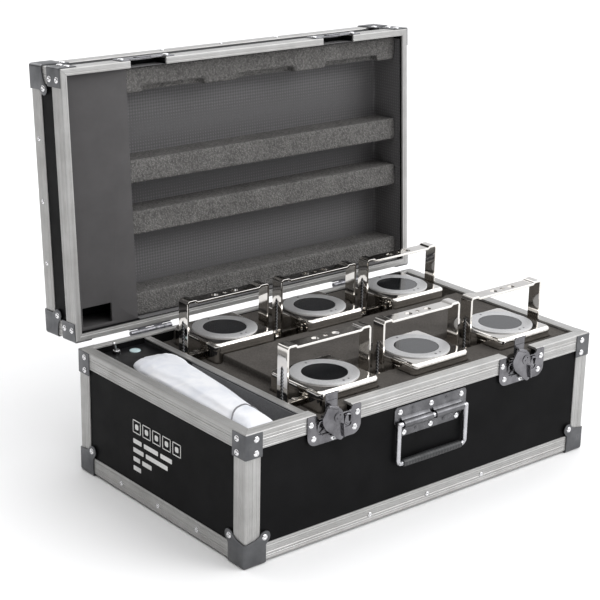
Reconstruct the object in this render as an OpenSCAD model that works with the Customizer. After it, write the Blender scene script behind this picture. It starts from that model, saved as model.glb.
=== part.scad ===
// Flight case with six battery uplights, drawn with the lid open.
// The origin is the middle of the case's footprint, at floor level.

/* [Case] */
// Outer length of the closed case
case_l = 575; // [560:5:600]
// Outer depth of the closed case
case_w = 350; // [345:5:370]
// Height of the base, up to the parting line
base_h = 166; // [164:1:170]
// Height of the lid, from the parting line up
lid_h = 74; // [74:1:90]
// Thickness of the laminate panels
panel_t = 7; // [5:0.5:8]
// Face width of the aluminium edge profiles
profile_w = 22; // [18:1:26]
// Width of the flat rim round the mouth of the base
rim_w = 18; // [12:1:18]
// Width of the rim along the hinge side
rear_rim_w = 12; // [11.5:0.5:18]
// Width of the rim round the mouth of the lid
lid_rim_w = 12; // [11.5:0.5:16]
// Angle of the open lid, measured from closed
lid_open = 93.5; // [60:0.5:100]

/* [Left compartment] */
// Left side of the divider, measured from the outer left side
divider_x = 96; // [90:1:100]
// Thickness of the divider
divider_t = 8; // [5:1:9]
// Height of the raised floor under the accessory pouch
false_floor_z = 92; // [60:1:100]
// Top of the charger panel
charger_z = 155; // [150:1:157]
// Front edge of the charger panel, measured from the front
charger_front = 232; // [220:1:240]

/* [Uplights] */
// Number of uplights in one row
unit_cols = 3; // [3:1:3]
// Distance between the two rows
row_pitch = 200; // [190:1:205]
// Shift of both rows towards the back
row_shift = 3; // [0:1:4]
// Side of the square face plate
plate_l = 96; // [90:1:98]
// Top of the face plate
plate_z = 176; // [172:1:177]
// Thickness of the face plate
plate_t = 10; // [8:0.5:12]
// Bottom of the lamp body
body_z = 44; // [30:1:70]
// Outer diameter of the bezel ring
bezel_d = 85; // [80:1:88]
// Height of the bezel ring above the face plate
bezel_h = 1.6; // [1:0.2:3]
// Diameter of the clear window inside the bezel
window_d = 57; // [50:1:60]

/* [Brackets] */
// Outer width of the bracket
bracket_l = 131; // [126:1:132]
// Width of the bracket's strap
strap_w = 19; // [15:1:22]
// Thickness of the strap
strap_t = 3; // [2:0.5:4]
// Top of the bracket
bracket_z = 226; // [215:1:226]
// Height of the pivot
pivot_z = 147; // [145:1:150]

/* [Foam] */
// Level of the raised foam between the lamps
foam_z = 162; // [158:1:162]
// Level of the foam beside the bracket legs
foam_low_z = 151; // [148:1:153]
// Underside of the foam bars in the closed lid
bar_z = 182; // [181:1:190]

/* [Latches and handle] */
// Distance of each latch from the middle of the front
latch_x = 156.5; // [140:0.5:170]
// Distance of each hinge from the middle of the back
hinge_x = 172; // [140:1:200]
// Length of one hinge
hinge_l = 64; // [48:2:80]
// Length of the handle's grip
grip_l = 98; // [80:1:100]
// Height of the handle's pivot
handle_z = 121; // [110:1:125]

/* [Hidden] */
$fn = 48;

rivet_t = 1.4;
rivet_r = 4;
plate_steel = 1.2;
profile_t = 1.6;
gap = 0.3;
// insets of each layer from the outer size
in_plate = rivet_t;
in_profile = in_plate + plate_steel;
in_panel = in_profile + profile_t;
in_wall = in_panel + panel_t;
hx = case_l / 2;
hy = case_w / 2;
top_z = base_h + lid_h;
base_top = base_h - 0.2;
lid_bottom = base_h + 0.2;
floor_z = in_wall;
roof_z = top_z - in_wall + 1;
lining_t = 1;
hinge_y = hy + 2.5;
hinge_z = base_h;
div_left = -hx + divider_x;
div_right = div_left + divider_t;
cell_l = (hx - rim_w - div_right) / unit_cols;
row_y = [row_shift - row_pitch / 2, row_shift + row_pitch / 2];
units = [for (r = [0, 1]) for (c = [0:unit_cols - 1])
    [div_right + cell_l * (c + 0.5), row_y[r], r == 0 ? 1 : -1]];
latch_z = base_h - 16;
notch_l = 54;
notch_z = base_h - 13;
handle_y = -hy - 1.4;
wire_r = 3.2;
grip_z = handle_z - 51;
leaf = [[-14.5, 26], [-1, 21.5], [5.7, 16.5], [8.6, 7], [9.4, -5], [11.4, -17], [5, -21.8],
    [-0.5, -18.6], [-10.5, -9.5], [-18.6, -3.2], [-22.9, 5], [-22.9, 12.7], [-18.6, 20]];
ear_x = 30;
ear_z = 34;
ear_r = 7.5;

// ---- shared shapes ----

module block(x0, x1, y0, y1, z0, z1) {
    translate([x0, y0, z0]) cube([x1 - x0, y1 - y0, z1 - z0]);
}

// box that is `inset` smaller than the case on its four sides
module inset_block(inset, z0, z1) {
    block(-hx + inset, hx - inset, -hy + inset, hy - inset, z0, z1);
}

module mirror4() {
    for (sx = [0, 1]) for (sy = [0, 1]) mirror([sx, 0, 0]) mirror([0, sy, 0]) children();
}

module lid_place() {
    translate([0, hinge_y, hinge_z]) rotate([-lid_open, 0, 0]) translate([0, -hinge_y, -hinge_z])
        children();
}

// rod from one point to another along a main axis: 0 is X, 1 is Y
module rod(axis, centre, r, length) {
    translate(centre) rotate(axis == 0 ? [0, 90, 0] : [90, 0, 0])
        cylinder(r = r, h = length, center = true);
}

// domed rivet head on a face that looks along -Y
module rivet(x, y, z) {
    translate([x, y, z]) rotate([90, 0, 0]) cylinder(r1 = rivet_r, r2 = rivet_r - 1.4, h = rivet_t);
}

// the same on a face that looks along -X
module side_rivet(x, y, z) {
    translate([x, y, z]) rotate([0, -90, 0]) cylinder(r1 = rivet_r, r2 = rivet_r - 1.4, h = rivet_t);
}

// cut-outs through the front rim where the latches sit
module latch_notches(z0, z1) {
    for (s = [-1, 1])
        block(s * latch_x - notch_l / 2, s * latch_x + notch_l / 2,
            -hy - 1, -hy + rim_w + 1, z0, z1);
}

// edge profiles of one half: a band at each end and an angle at each corner
module edge_frame(z0, z1, closed_end) {
    difference() {
        inset_block(in_profile, z0, z1);
        inset_block(in_panel, closed_end < 0 ? z0 + profile_t : z0 - 1,
            closed_end < 0 ? z1 + 1 : z1 - profile_t);
        face_windows(z0, z1);
        if (closed_end < 0)
            inset_block(in_profile + profile_w, z0 - 1, z0 + profile_t + 1);
        else
            inset_block(in_profile + profile_w, z1 - profile_t - 1, z1 + 1);
    }
}

module face_windows(z0, z1) {
    edge = in_profile + profile_w;
    block(-hx + edge, hx - edge, -hy - 1, hy + 1, z0 + profile_w, z1 - profile_w);
    block(-hx - 1, hx + 1, -hy + edge, hy - edge, z0 + profile_w, z1 - profile_w);
}

module rim_plate(w, w_rear, z0, z1) {
    difference() {
        inset_block(in_panel, z0, z1);
        block(-hx + w, hx - w, -hy + w, hy - w_rear, z0 - 1, z1 + 1);
    }
}

// angled plate at a mouth corner, drawn at the left front
module mouth_plate(z0, z1) {
    difference() {
        block(-hx + in_plate, -hx + 25, -hy + in_plate, -hy + 25, z0, z1);
        block(-hx + in_profile, hx, -hy + in_profile, hy, z0 - 1, z1 + 1);
    }
}

// ---- base of the case ----

module base_shell() {
    color("#1b1b1d") difference() {
        inset_block(in_panel, in_panel, base_top - 3);
        inset_block(in_wall, floor_z, base_h);
        latch_notches(notch_z, base_h);
    }
}

module base_profiles() {
    color("#b9bcbf") {
        difference() {
            union() {
                edge_frame(in_profile, base_top, -1);
                rim_plate(rim_w, rear_rim_w, base_top - 3 + 0.01, base_top);
            }
            latch_notches(notch_z, base_h);
        }
        block(div_left - 1, div_right + 1, -hy + rim_w + 0.2, hy - in_wall - 1,
            base_h - 5, base_h - 3.6);
    }
}

module base_corners() {
    color("#2f3135") mirror4() {
        corner_cap(0, 31);
        mouth_plate(base_h - 31, base_top);
    }
}

// cap with three ears round a bottom corner, and a ball at the corner itself
module corner_cap(z0, z1) {
    difference() {
        union() {
            block(-hx + in_plate, -hx + 32, -hy + in_plate, -hy + 32, z0 + in_plate, z1);
            ear(z0);
            intersection() {
                translate([-hx + 14, -hy + 14, z0 + 14]) sphere(r = 20);
                block(-hx, -hx + 20, -hy, -hy + 20, z0, z0 + 20);
            }
        }
        block(-hx + in_profile, hx, -hy + in_profile, hy, z0 + in_profile, z1 + 30);
    }
}

// round ears of a cap, one on each of its two upright faces
module ear(z0) {
    intersection() {
        union() {
            rod(1, [-hx + ear_x, -hy + 10, z0 + ear_z], ear_r, 40);
            rod(0, [-hx + 10, -hy + ear_x, z0 + ear_z], ear_r, 40);
        }
        difference() {
            inset_block(in_plate, z0, z0 + 60);
            inset_block(in_panel, z0 - 1, z0 + 61);
        }
        block(-hx, -hx + 60, -hy, -hy + 60, z0, z0 + 60);
    }
}

module corner_rivets(z_cap, z_low, z_high) {
    rivet(-hx + ear_x, -hy + in_plate, z_cap);
    side_rivet(-hx + in_plate, -hy + ear_x, z_cap);
    for (z = [z_low, z_high]) {
        rivet(-hx + 17, -hy + in_plate, z);
        side_rivet(-hx + in_plate, -hy + 17, z);
    }
}

module base_rivets() {
    color("#d9dbde") {
        mirror4() corner_rivets(ear_z, base_h - 25, base_h - 8);
        for (sy = [0, 1]) mirror([0, sy, 0]) for (x = [-95, 0, 95])
            rivet(x, -hy + in_profile, in_profile + profile_w / 2);
        for (sx = [0, 1]) mirror([sx, 0, 0]) for (y = [-80, 0, 80])
            side_rivet(-hx + in_profile, y, in_profile + profile_w / 2);
        for (s = [-1, 1]) {
            for (p = [[-35, 4.5], [-31, -13.4], [-1.5, -18], [31, -13.4], [35, 4.5]])
                rivet(s * latch_x + p[0], -hy + in_plate, latch_z + p[1]);
        }
        for (p = [[-51, 14], [0, 14], [51, 14], [-44, -13], [0, -13], [44, -13]])
            rivet(p[0], -hy + in_panel - plate_steel, handle_z + p[1]);
        for (s = [-1, 1]) for (x = [-22, 22])
            mirror([0, 1, 0]) rivet(s * hinge_x + x, -hy + in_plate, base_h - 17);
    }
}

// ---- lid ----

module lid_shell() {
    color("#1b1b1d") lid_place() difference() {
        inset_block(in_panel, lid_bottom + 3, top_z - in_panel);
        inset_block(in_wall, base_h, roof_z);
        latch_notches(base_h - 1, base_h + 24);
    }
}

module lid_profiles() {
    color("#b9bcbf") lid_place() difference() {
        union() {
            edge_frame(lid_bottom, top_z - in_profile, 1);
            rim_plate(lid_rim_w, lid_rim_w, lid_bottom, lid_bottom + 3 - 0.01);
        }
        latch_notches(base_h - 1, base_h + 17);
    }
}

module lid_corners() {
    color("#2f3135") lid_place() mirror4() {
        translate([0, 0, top_z]) mirror([0, 0, 1]) corner_cap(0, 31);
        mouth_plate(lid_bottom, base_h + 31);
    }
}

module lid_rivets() {
    color("#d9dbde") lid_place() {
        mirror4() corner_rivets(top_z - ear_z, base_h + 8, base_h + 25);
        for (sy = [0, 1]) mirror([0, sy, 0]) for (x = [-95, 0, 95])
            rivet(x, -hy + in_profile, top_z - in_profile - profile_w / 2);
        for (sx = [0, 1]) mirror([sx, 0, 0]) for (y = [-80, 0, 80])
            side_rivet(-hx + in_profile, y, top_z - in_profile - profile_w / 2);
        for (s = [-1, 1]) for (x = [-22, 22])
            mirror([0, 1, 0]) rivet(s * hinge_x + x, -hy + in_plate, base_h + 17);
        for (s = [-1, 1]) for (x = [-34, 34])
            rivet(s * latch_x + x, -hy + in_plate, base_h + 12);
    }
}

// one half of a hinge at x = 0: a leaf on the back face and its knuckles
module hinge_half(side, first, count) {
    step = hinge_l / 5;
    z_far = hinge_z + side * 24;
    z_near = hinge_z + side * 0.8;
    block(-hinge_l / 2, hinge_l / 2, hy - in_profile, hy - in_plate,
        min(z_far, z_near), max(z_far, z_near));
    for (i = [0:count - 1]) {
        x0 = -hinge_l / 2 + (first + 2 * i) * step + gap;
        x1 = x0 + step - 2 * gap;
        difference() {
            union() {
                rod(0, [(x0 + x1) / 2, hinge_y, hinge_z], 3.2, x1 - x0);
                block(x0, x1, hy - in_plate - 0.01, hinge_y,
                    min(hinge_z + side * 3.2, hinge_z + side * 1.6),
                    max(hinge_z + side * 3.2, hinge_z + side * 1.6));
            }
            rod(0, [(x0 + x1) / 2, hinge_y, hinge_z], 1.6, hinge_l);
        }
    }
}

module hinge_base() {
    color("#9a9da1") for (s = [-1, 1]) translate([s * hinge_x, 0, 0]) {
        hinge_half(-1, 0, 3);
        rod(0, [0, hinge_y, hinge_z], 1.55, hinge_l + 2);
    }
}

module hinge_lid() {
    color("#9a9da1") lid_place() for (s = [-1, 1]) translate([s * hinge_x, 0, 0])
        hinge_half(1, 1, 2);
}

// ---- inside of the base ----

module divider() {
    color("#222326") block(div_left, div_right, -hy + in_wall + gap, hy - in_wall - gap,
        floor_z, base_h - 5);
}

module compartment_liner() {
    front = -hy + in_wall + gap;
    back = -hy + charger_front - gap;
    left = -hx + in_wall + gap;
    right = div_left - gap;
    color("#4b4c4f") difference() {
        block(left, right, front, back, false_floor_z, base_h - 5.6);
        block(left + 2, right - 2, front + 2, back - 2, false_floor_z + 2, base_h);
        block(left - 1, right + 1, back - 3, back + 1, charger_z - 1, base_h);
    }
}

module charger_panel() {
    front = -hy + charger_front;
    left = -hx + in_wall + gap;
    color("#151517") {
        difference() {
            union() {
                block(left, div_left - gap, front, hy - in_wall - gap, charger_z - 3, charger_z);
                block(left, div_left - gap, front, front + 3, false_floor_z, charger_z);
            }
            translate([-hx + 46, hy - 22, charger_z - 9]) cylinder(r = 3.4, h = 20);
            translate([-hx + 70, hy - 28, charger_z - 9]) cylinder(r = 6, h = 20);
        }
        difference() {
            translate([-hx + 46, hy - 22, charger_z]) cylinder(r = 5.5, h = 3);
            translate([-hx + 46, hy - 22, charger_z - 9]) cylinder(r = 3.4, h = 20);
        }
    }
}

module power_switch() {
    color("#d5d7da") translate([-hx + 46, hy - 22, charger_z]) rotate([0, -15, 0]) {
        cylinder(r1 = 1.5, r2 = 2.4, h = 14);
        translate([0, 0, 14]) sphere(r = 2.4);
        translate([0, 0, -1]) sphere(r = 3);
    }
}

module charge_indicator() {
    color("#bfe3e0") translate([-hx + 70, hy - 28, charger_z - 6]) {
        cylinder(r = 5.9, h = 6);
        translate([0, 0, 6]) cylinder(r = 7, h = 1);
    }
}

module power_supply() {
    color("#8d9094") block(-hx + in_wall + 4, div_left - 4, -hy + 40, hy - 60,
        floor_z, false_floor_z - 7);
}

module accessory_pouch() {
    left = -hx + rim_w + 0.6;
    right = div_left - 3.4;
    front = -hy + rim_w + 0.6;
    back = -hy + charger_front - 3.4;
    color("#f2f3f5") {
        block(left, right, front, back, false_floor_z + 2.6, charger_z - 5);
        hull() {
            block(left, right - 24, front, front + 6, charger_z - 10, charger_z + 5);
            block(left + 8, right, -hy + 270, -hy + 280, charger_z + 3, charger_z + 9);
            block(left, right - 6, back - 40, back, charger_z + 2, charger_z + 11);
        }
    }
}

module foam_tray() {
    left = div_right + gap;
    right = hx - in_wall - gap;
    front = -hy + in_wall + gap;
    back = hy - in_wall - gap;
    color("#4a443f") difference() {
        block(left, right, front, back, floor_z, foam_z);
        block(left - 1, units[0][0] - 39, front - 1, back + 1, foam_low_z, foam_z + 1);
        for (u = units) translate([u[0], u[1], 0]) unit_pocket(u[2]);
        latch_pockets();
    }
}

// room for one lamp: its body, its side knobs, its bracket and the bracket's swing
module unit_pocket(aisle) {
    body = plate_l / 2 - 1 + 0.8;
    reach = cell_l / 2 + 0.01;
    block(-body, body, -body, body, body_z - 0.4, foam_z + 1);
    leg_pocket(reach, aisle, 22, pivot_z - 13);
    leg_pocket(reach, aisle, 44, foam_low_z);
}

// recess for the bracket's legs, longer on the side of the aisle
module leg_pocket(reach, aisle, length, z0) {
    block(-reach, reach, aisle > 0 ? -14 : -length, aisle > 0 ? length : 14, z0, foam_z + 1);
}

module latch_pockets() {
    for (s = [-1, 1])
        block(s * latch_x - 16, s * latch_x + 16, -hy, -hy + in_wall + 2.5, notch_z, base_h);
}

// ---- inside of the lid ----

module lid_foam_bars() {
    left = div_right + 1;
    right = hx - in_wall - 2;
    ceiling = roof_z - lining_t - 0.1;
    color("#77746f") lid_place() {
        difference() {
            block(left, right, -hy + in_wall + 2, -hy + 46, bar_z, ceiling);
            for (u = units) if (u[2] > 0)
                block(u[0] - plate_l / 2, u[0] + plate_l / 2, -hy + 38, -hy + 47, bar_z - 1, bar_z + 14);
        }
        for (y = [131, 198]) block(left, right, -hy + y, -hy + y + 30, bar_z, ceiling);
        block(left, right, hy - 44, hy - in_wall - 2, bar_z, ceiling);
    }
}

module lid_pocket_cover() {
    left = -hx + in_wall + gap;
    right = div_right;
    front = -hy + in_wall + gap;
    back = hy - in_wall - gap;
    color("#5a585b") lid_place() difference() {
        block(left, right, front, back, bar_z - 4, roof_z - 0.1);
        block(left - 1, right - 3, front + 3, back - 3, bar_z, roof_z + 1);
        block(-hx + 21, -hx + 65, hy - 41, back - 4, bar_z - 5, bar_z + 1);
    }
}

module lid_lining() {
    left = div_right + gap;
    right = hx - in_wall;
    color("#6b6f76") lid_place() difference() {
        block(left, right, -hy + in_wall, hy - in_wall, base_h + 6, roof_z);
        block(left - 1, right - lining_t, -hy + in_wall + lining_t, hy - in_wall - lining_t,
            base_h + 5, roof_z - lining_t);
        latch_notches(base_h, base_h + 24);
    }
}

// ---- latches ----

module latch_plates() {
    pin_y = -hy + 8;
    color("#63666b") for (s = [-1, 1]) translate([s * latch_x, 0, 0]) {
        difference() {
            translate([0, -hy + in_profile, latch_z]) rotate([90, 0, 0])
                linear_extrude(plate_steel) polygon([[-40.5, 15.4], [-40.5, -9.5], [-36.7, -18.5],
                    [-27.5, -22.3], [27.5, -22.3], [36.7, -18.5], [40.5, -9.5], [40.5, 15.4]]);
            rod(1, [0, -hy, latch_z], 4.1, 20);
        }
        for (x = [-13, 10.6])
            block(x, x + 2.4, -hy + in_profile - 0.01, pin_y + 2.6, notch_z + 0.3, notch_z + 6);
        rod(0, [0, pin_y, notch_z + 3.2], 1.2, 24);
    }
}

module latch_wing(s) {
    color("#84878c") translate([s * latch_x, 0, latch_z]) {
        rod(1, [0, -hy - 1, 0], 4, 6.6);
        rod(1, [0, -hy - 2.3, 0], 11, 2);
        translate([0, -hy - 3.3, 0]) rotate([90, 0, 0]) linear_extrude(2.2) polygon(leaf);
        block(5.2, 7.6, -hy - 9.4, -hy - 5.4, -17, 0);
    }
}

module latch_hook(s) {
    pin_y = -hy + 8;
    pin_z = notch_z + 3.2;
    color("#8b8e93") translate([s * latch_x, 0, 0]) difference() {
        union() {
            rod(0, [0, pin_y, pin_z], 2.6, 20);
            block(-9, 9, pin_y - 0.8, pin_y + 0.8, pin_z, base_h + 20);
            block(-9, 9, pin_y - 2.6, pin_y + 0.8, base_h + 18, base_h + 20);
        }
        rod(0, [0, pin_y, pin_z], 1.3, 30);
    }
}

module lid_catches() {
    color("#63666b") lid_place() for (s = [-1, 1]) translate([s * latch_x, 0, 0]) {
        block(-40.5, 40.5, -hy + in_plate, -hy + in_profile, base_h + 0.6, base_h + 25);
        block(-12, 12, -hy + in_profile - 0.01, -hy + 4.6, base_h + 12, base_h + 15.6);
    }
}

// ---- handle ----

module handle_plate() {
    y0 = -hy + in_panel - plate_steel;
    color("#303236") difference() {
        union() {
            translate([0, y0 + plate_steel, 0]) rotate([90, 0, 0]) linear_extrude(plate_steel)
                polygon([[-60, handle_z + 21], [60, handle_z + 21], [60, handle_z],
                    [47, handle_z - 17], [-47, handle_z - 17], [-60, handle_z]]);
            for (x = [-33, 33]) {
                rod(0, [x, handle_y, handle_z], 5, 30);
                block(x - 15, x + 15, handle_y, y0 + 0.01, handle_z - 3, handle_z + 3);
            }
        }
        rod(0, [0, handle_y, handle_z], wire_r + 0.1, 200);
    }
}

module handle_bail() {
    arm_x = 56;
    color("#3a3c40") {
        rod(0, [0, handle_y, handle_z], wire_r, 2 * arm_x);
        rod(0, [0, handle_y, grip_z], wire_r, 2 * arm_x);
        for (s = [-1, 1]) {
            translate([s * arm_x, handle_y, grip_z]) cylinder(r = wire_r, h = handle_z - grip_z);
            for (z = [grip_z, handle_z]) translate([s * arm_x, handle_y, z]) sphere(r = wire_r);
        }
    }
}

module handle_grip() {
    color("#1d1d1f") difference() {
        rod(0, [0, handle_y, grip_z], 4.6, grip_l);
        rod(0, [0, handle_y, grip_z], wire_r, grip_l + 2);
    }
    color("#1d1d1f") for (i = [0:9]) difference() {
        rod(0, [(i - 4.5) * grip_l / 10, handle_y, grip_z], 5.2, grip_l / 10 - 2);
        rod(0, [0, handle_y, grip_z], 4.5, grip_l);
    }
}

// ---- uplights ----

// square plate with rounded corners
module rounded_plate(side, r, z0, z1) {
    h = side / 2;
    translate([0, 0, z0]) {
        for (sx = [-1, 1]) for (sy = [-1, 1])
            translate([sx * (h - r), sy * (h - r), 0]) cylinder(r = r, h = z1 - z0);
        block(-h, h, -h + r, h - r, 0, z1 - z0);
        block(-h + r, h - r, -h, h, 0, z1 - z0);
    }
}

module housing() {
    body = plate_l / 2 - 1;
    boss_end = bracket_l / 2 - strap_t - 0.2;
    color("#a9a49c") difference() {
        union() {
            rounded_plate(plate_l, 7, plate_z - plate_t, plate_z);
            block(-body, body, -body, body, body_z, plate_z - plate_t + 0.01);
            for (s = [-1, 1]) {
                block(s > 0 ? body - 1 : -boss_end, s > 0 ? boss_end : 1 - body,
                    -6, 6, pivot_z - 6, pivot_z + 6);
                rod(0, [s * (bracket_l / 2 - 1), 0, pivot_z], 3.2, 12);
                rod(0, [s * (bracket_l / 2 + 3.3), 0, pivot_z], 8, 5.6);
            }
        }
        block(-body + 3, body - 3, -body + 3, body - 3, body_z - 1, plate_z - plate_t);
        translate([0, 0, plate_z - plate_t - 1]) cylinder(r = window_d / 2 - 1, h = plate_t + 2);
        translate([0, 0, plate_z - 3.2]) cylinder(r = window_d / 2 + 2.6, h = 4);
    }
}

module bezel() {
    color("#c3c4c6") difference() {
        translate([0, 0, plate_z]) cylinder(r = bezel_d / 2, h = bezel_h);
        translate([0, 0, plate_z - 1]) cylinder(r = window_d / 2, h = bezel_h + 2);
    }
    color("#515254") for (a = [90, 270, 284])
        rotate([0, 0, a]) translate([(bezel_d + window_d) / 4, 0, plate_z + bezel_h])
            cylinder(r = 1.6, h = 0.3);
}

module window() {
    color("#26292c") translate([0, 0, plate_z - 3.2]) {
        cylinder(r = window_d / 2 + 2.5, h = 3);
        cylinder(r = window_d / 2 - 0.2, h = 3 + bezel_h);
    }
}

// chassis that carries the battery, the driver board, the heat sink and the light engine
module core() {
    room = plate_l / 2 - 1 - 3 - 0.4;
    color("#2d5a3c") {
        block(-room, room, -room, room, body_z, body_z + 3);
        block(-34, 34, -22, 22, body_z + 2.9, body_z + 66);
        block(-24, 24, -24, 24, body_z + 65.9, body_z + 104);
        translate([0, 0, body_z + 103.9]) cylinder(r = 26, h = 3);
        for (a = [0:60:300]) rotate([0, 0, a]) translate([15, 0, body_z + 106.8])
            cylinder(r1 = 3.5, r2 = 6, h = 10);
    }
}

module bracket() {
    leg = bracket_l / 2;
    step_x = leg - 15;
    groove = 0.6 * strap_t;
    color("#b5b0a8") difference() {
        union() {
            for (s = [0, 1]) mirror([s, 0, 0]) {
                block(leg - strap_t, leg, -strap_w / 2, strap_w / 2, pivot_z, bracket_z);
                rod(0, [leg - strap_t / 2, 0, pivot_z], strap_w / 2, strap_t);
                block(step_x - strap_t, leg, -strap_w / 2, strap_w / 2,
                    bracket_z - strap_t, bracket_z);
            }
            block(-step_x, step_x, -strap_w / 2, strap_w / 2,
                bracket_z - 1.8 * strap_t, bracket_z - 0.8 * strap_t);
        }
        for (h = [[-16, 5], [0, 3], [16, 5]])
            translate([h[0], 0, bracket_z - 20]) cylinder(r = h[1], h = 30);
        for (s = [-1, 1]) rod(0, [s * leg, 0, pivot_z], 3.3, 12);
        // adjusting groove in the outer face of the left leg
        rod(0, [-leg, 0, 196], 3.3, 2 * groove);
        block(-leg - 1, -leg + groove, -3.3, 3.3, pivot_z, 196);
    }
}

// moves a lamp's sub-part from the middle to the lamp's own place in the tray
module at_unit(i) {
    translate([units[i - 1][0], units[i - 1][1], 0]) children();
}

base_shell();
base_profiles();
base_corners();
base_rivets();
lid_shell();
lid_profiles();
lid_corners();
lid_rivets();
hinge_base();
hinge_lid();
divider();
compartment_liner();
charger_panel();
power_switch();
charge_indicator();
power_supply();
accessory_pouch();
foam_tray();
lid_foam_bars();
lid_pocket_cover();
lid_lining();
latch_plates();
latch_wing(-1);  // latch_wing_left
latch_wing(1);  // latch_wing_right
latch_hook(-1);  // latch_hook_left
latch_hook(1);  // latch_hook_right
lid_catches();
handle_plate();
handle_bail();
handle_grip();
for (i = [1:2 * unit_cols]) {
    at_unit(i) housing();
    at_unit(i) bezel();
    at_unit(i) window();
    at_unit(i) core();
    at_unit(i) bracket();
}
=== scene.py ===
import math
import bmesh
import bpy
from mathutils import Matrix, Vector, noise
from mathutils.bvhtree import BVHTree


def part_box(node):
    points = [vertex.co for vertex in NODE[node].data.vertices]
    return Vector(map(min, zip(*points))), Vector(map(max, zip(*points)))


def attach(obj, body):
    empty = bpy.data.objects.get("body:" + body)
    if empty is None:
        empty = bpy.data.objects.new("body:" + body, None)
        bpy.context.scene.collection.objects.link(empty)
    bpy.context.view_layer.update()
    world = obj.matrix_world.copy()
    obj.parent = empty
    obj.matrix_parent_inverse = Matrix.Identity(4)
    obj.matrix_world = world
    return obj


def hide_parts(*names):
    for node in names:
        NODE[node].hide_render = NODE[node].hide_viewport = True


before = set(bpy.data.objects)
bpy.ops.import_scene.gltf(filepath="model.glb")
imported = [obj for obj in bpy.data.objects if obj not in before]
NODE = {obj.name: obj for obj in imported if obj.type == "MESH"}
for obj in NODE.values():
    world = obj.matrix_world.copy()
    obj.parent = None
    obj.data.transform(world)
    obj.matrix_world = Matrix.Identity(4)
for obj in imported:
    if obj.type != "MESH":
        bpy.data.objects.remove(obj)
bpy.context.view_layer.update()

MM = 0.001
UNITS = range(1, 7)

# ---------------------------------------------------------------- sizes, in millimetres
HX, HY = 287.5, 175.0            # half of the closed case's length and depth
BASE_H, TOP_Z = 166.0, 240.0     # parting line and top of the closed case
IN_PLATE, IN_PROFILE, IN_PANEL, IN_WALL = 1.4, 2.6, 4.2, 11.2   # insets of the layers
PROFILE_W = 22.0                 # face width of the edge profiles
HINGE = Vector((0, 177.5, 166.0))
LID_OPEN = -93.5                 # degrees about X from closed to open
DIV_L, DIV_R = -191.5, -183.5    # faces of the divider
LATCH_X, LATCH_Z = 156.5, 150.0
HINGE_X = 172.0
HANDLE_Y, HANDLE_Z, GRIP_Z = -176.4, 121.0, 70.0
BAIL_X, WIRE_R = 56.0, 3.2       # side arms and radius of the handle's wire
PIVOT_Z, BRACKET_Z = 147.0, 226.0
PLATE_Z, RING_H = 176.0, 1.6       # top of the face plate, height of the ring on it
LEG_X, STRAP_T, GROOVE = 65.5, 3.0, 1.8   # outer face, thickness and groove of a bracket's leg
BODY_Z = 44.0                    # underside of a lamp
CHARGER_Z = 155.0                # top of the charger panel


def centre(node):
    lo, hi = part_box(node)
    return (lo + hi) / 2 / MM


LID = (Matrix.Translation(HINGE) @ Matrix.Rotation(math.radians(LID_OPEN), 4, "X")
       @ Matrix.Translation(-HINGE))
UNIT = {i: centre(f"uplight_{i}_bezel") for i in UNITS}

# ---------------------------------------------------------------- faces to build on
FACES = {
    "front": ((1, 0, 0), (0, 0, 1), (0, -1, 0)),
    "back": ((-1, 0, 0), (0, 0, 1), (0, 1, 0)),
    "left": ((0, -1, 0), (0, 0, 1), (-1, 0, 0)),
    "right": ((0, 1, 0), (0, 0, 1), (1, 0, 0)),
    "top": ((1, 0, 0), (0, 1, 0), (0, 0, 1)),
    "bottom": ((1, 0, 0), (0, -1, 0), (0, 0, -1)),
}


def on(face, x, y, z, turn=0.0):
    """Matrix that puts local u, v, w on a face: u to its right, v up it, w out of it."""
    u, v, w = (Vector(c) for c in FACES[face])
    m = Matrix((u, v, w)).transposed().to_4x4()
    return Matrix.Translation((x, y, z)) @ m @ Matrix.Rotation(math.radians(turn), 4, "Z")


# ---------------------------------------------------------------- mesh helpers
def link(name, data):
    """Object of the scene that holds a mesh, a light or a camera."""
    ob = bpy.data.objects.new(name, data)
    bpy.context.scene.collection.objects.link(ob)
    return ob


def to_mesh(bm, name, angle=None):
    """Turns a millimetre bmesh into a mesh in metres; edges sharper than angle stay sharp."""
    bm.transform(Matrix.Scale(MM, 4))
    me = bpy.data.meshes.new(name)
    bm.to_mesh(me)
    bm.free()
    if angle is not None:
        me.shade_smooth()
        me.set_sharp_from_angle(angle=math.radians(angle))
    return me


def add(bm, part, m=None):
    """Moves one bmesh into another."""
    if m is not None:
        part.transform(m)
        if m.determinant() < 0:
            bmesh.ops.reverse_faces(part, faces=part.faces[:])
    me = bpy.data.meshes.new("part")
    part.to_mesh(me)
    part.free()
    bm.from_mesh(me)
    bpy.data.meshes.remove(me)


def box(bm, x0, x1, y0, y1, z0, z1, r=0.0, m=None):
    part = bmesh.new()
    bmesh.ops.create_cube(part, size=1)
    part.transform(Matrix.Translation(((x0 + x1) / 2, (y0 + y1) / 2, (z0 + z1) / 2))
                   @ Matrix.Diagonal((x1 - x0, y1 - y0, z1 - z0, 1)))
    if r:
        bmesh.ops.bevel(part, geom=part.edges[:], offset=r, segments=2, profile=0.5,
                        affect="EDGES", clamp_overlap=True)
    add(bm, part, m)


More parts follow.
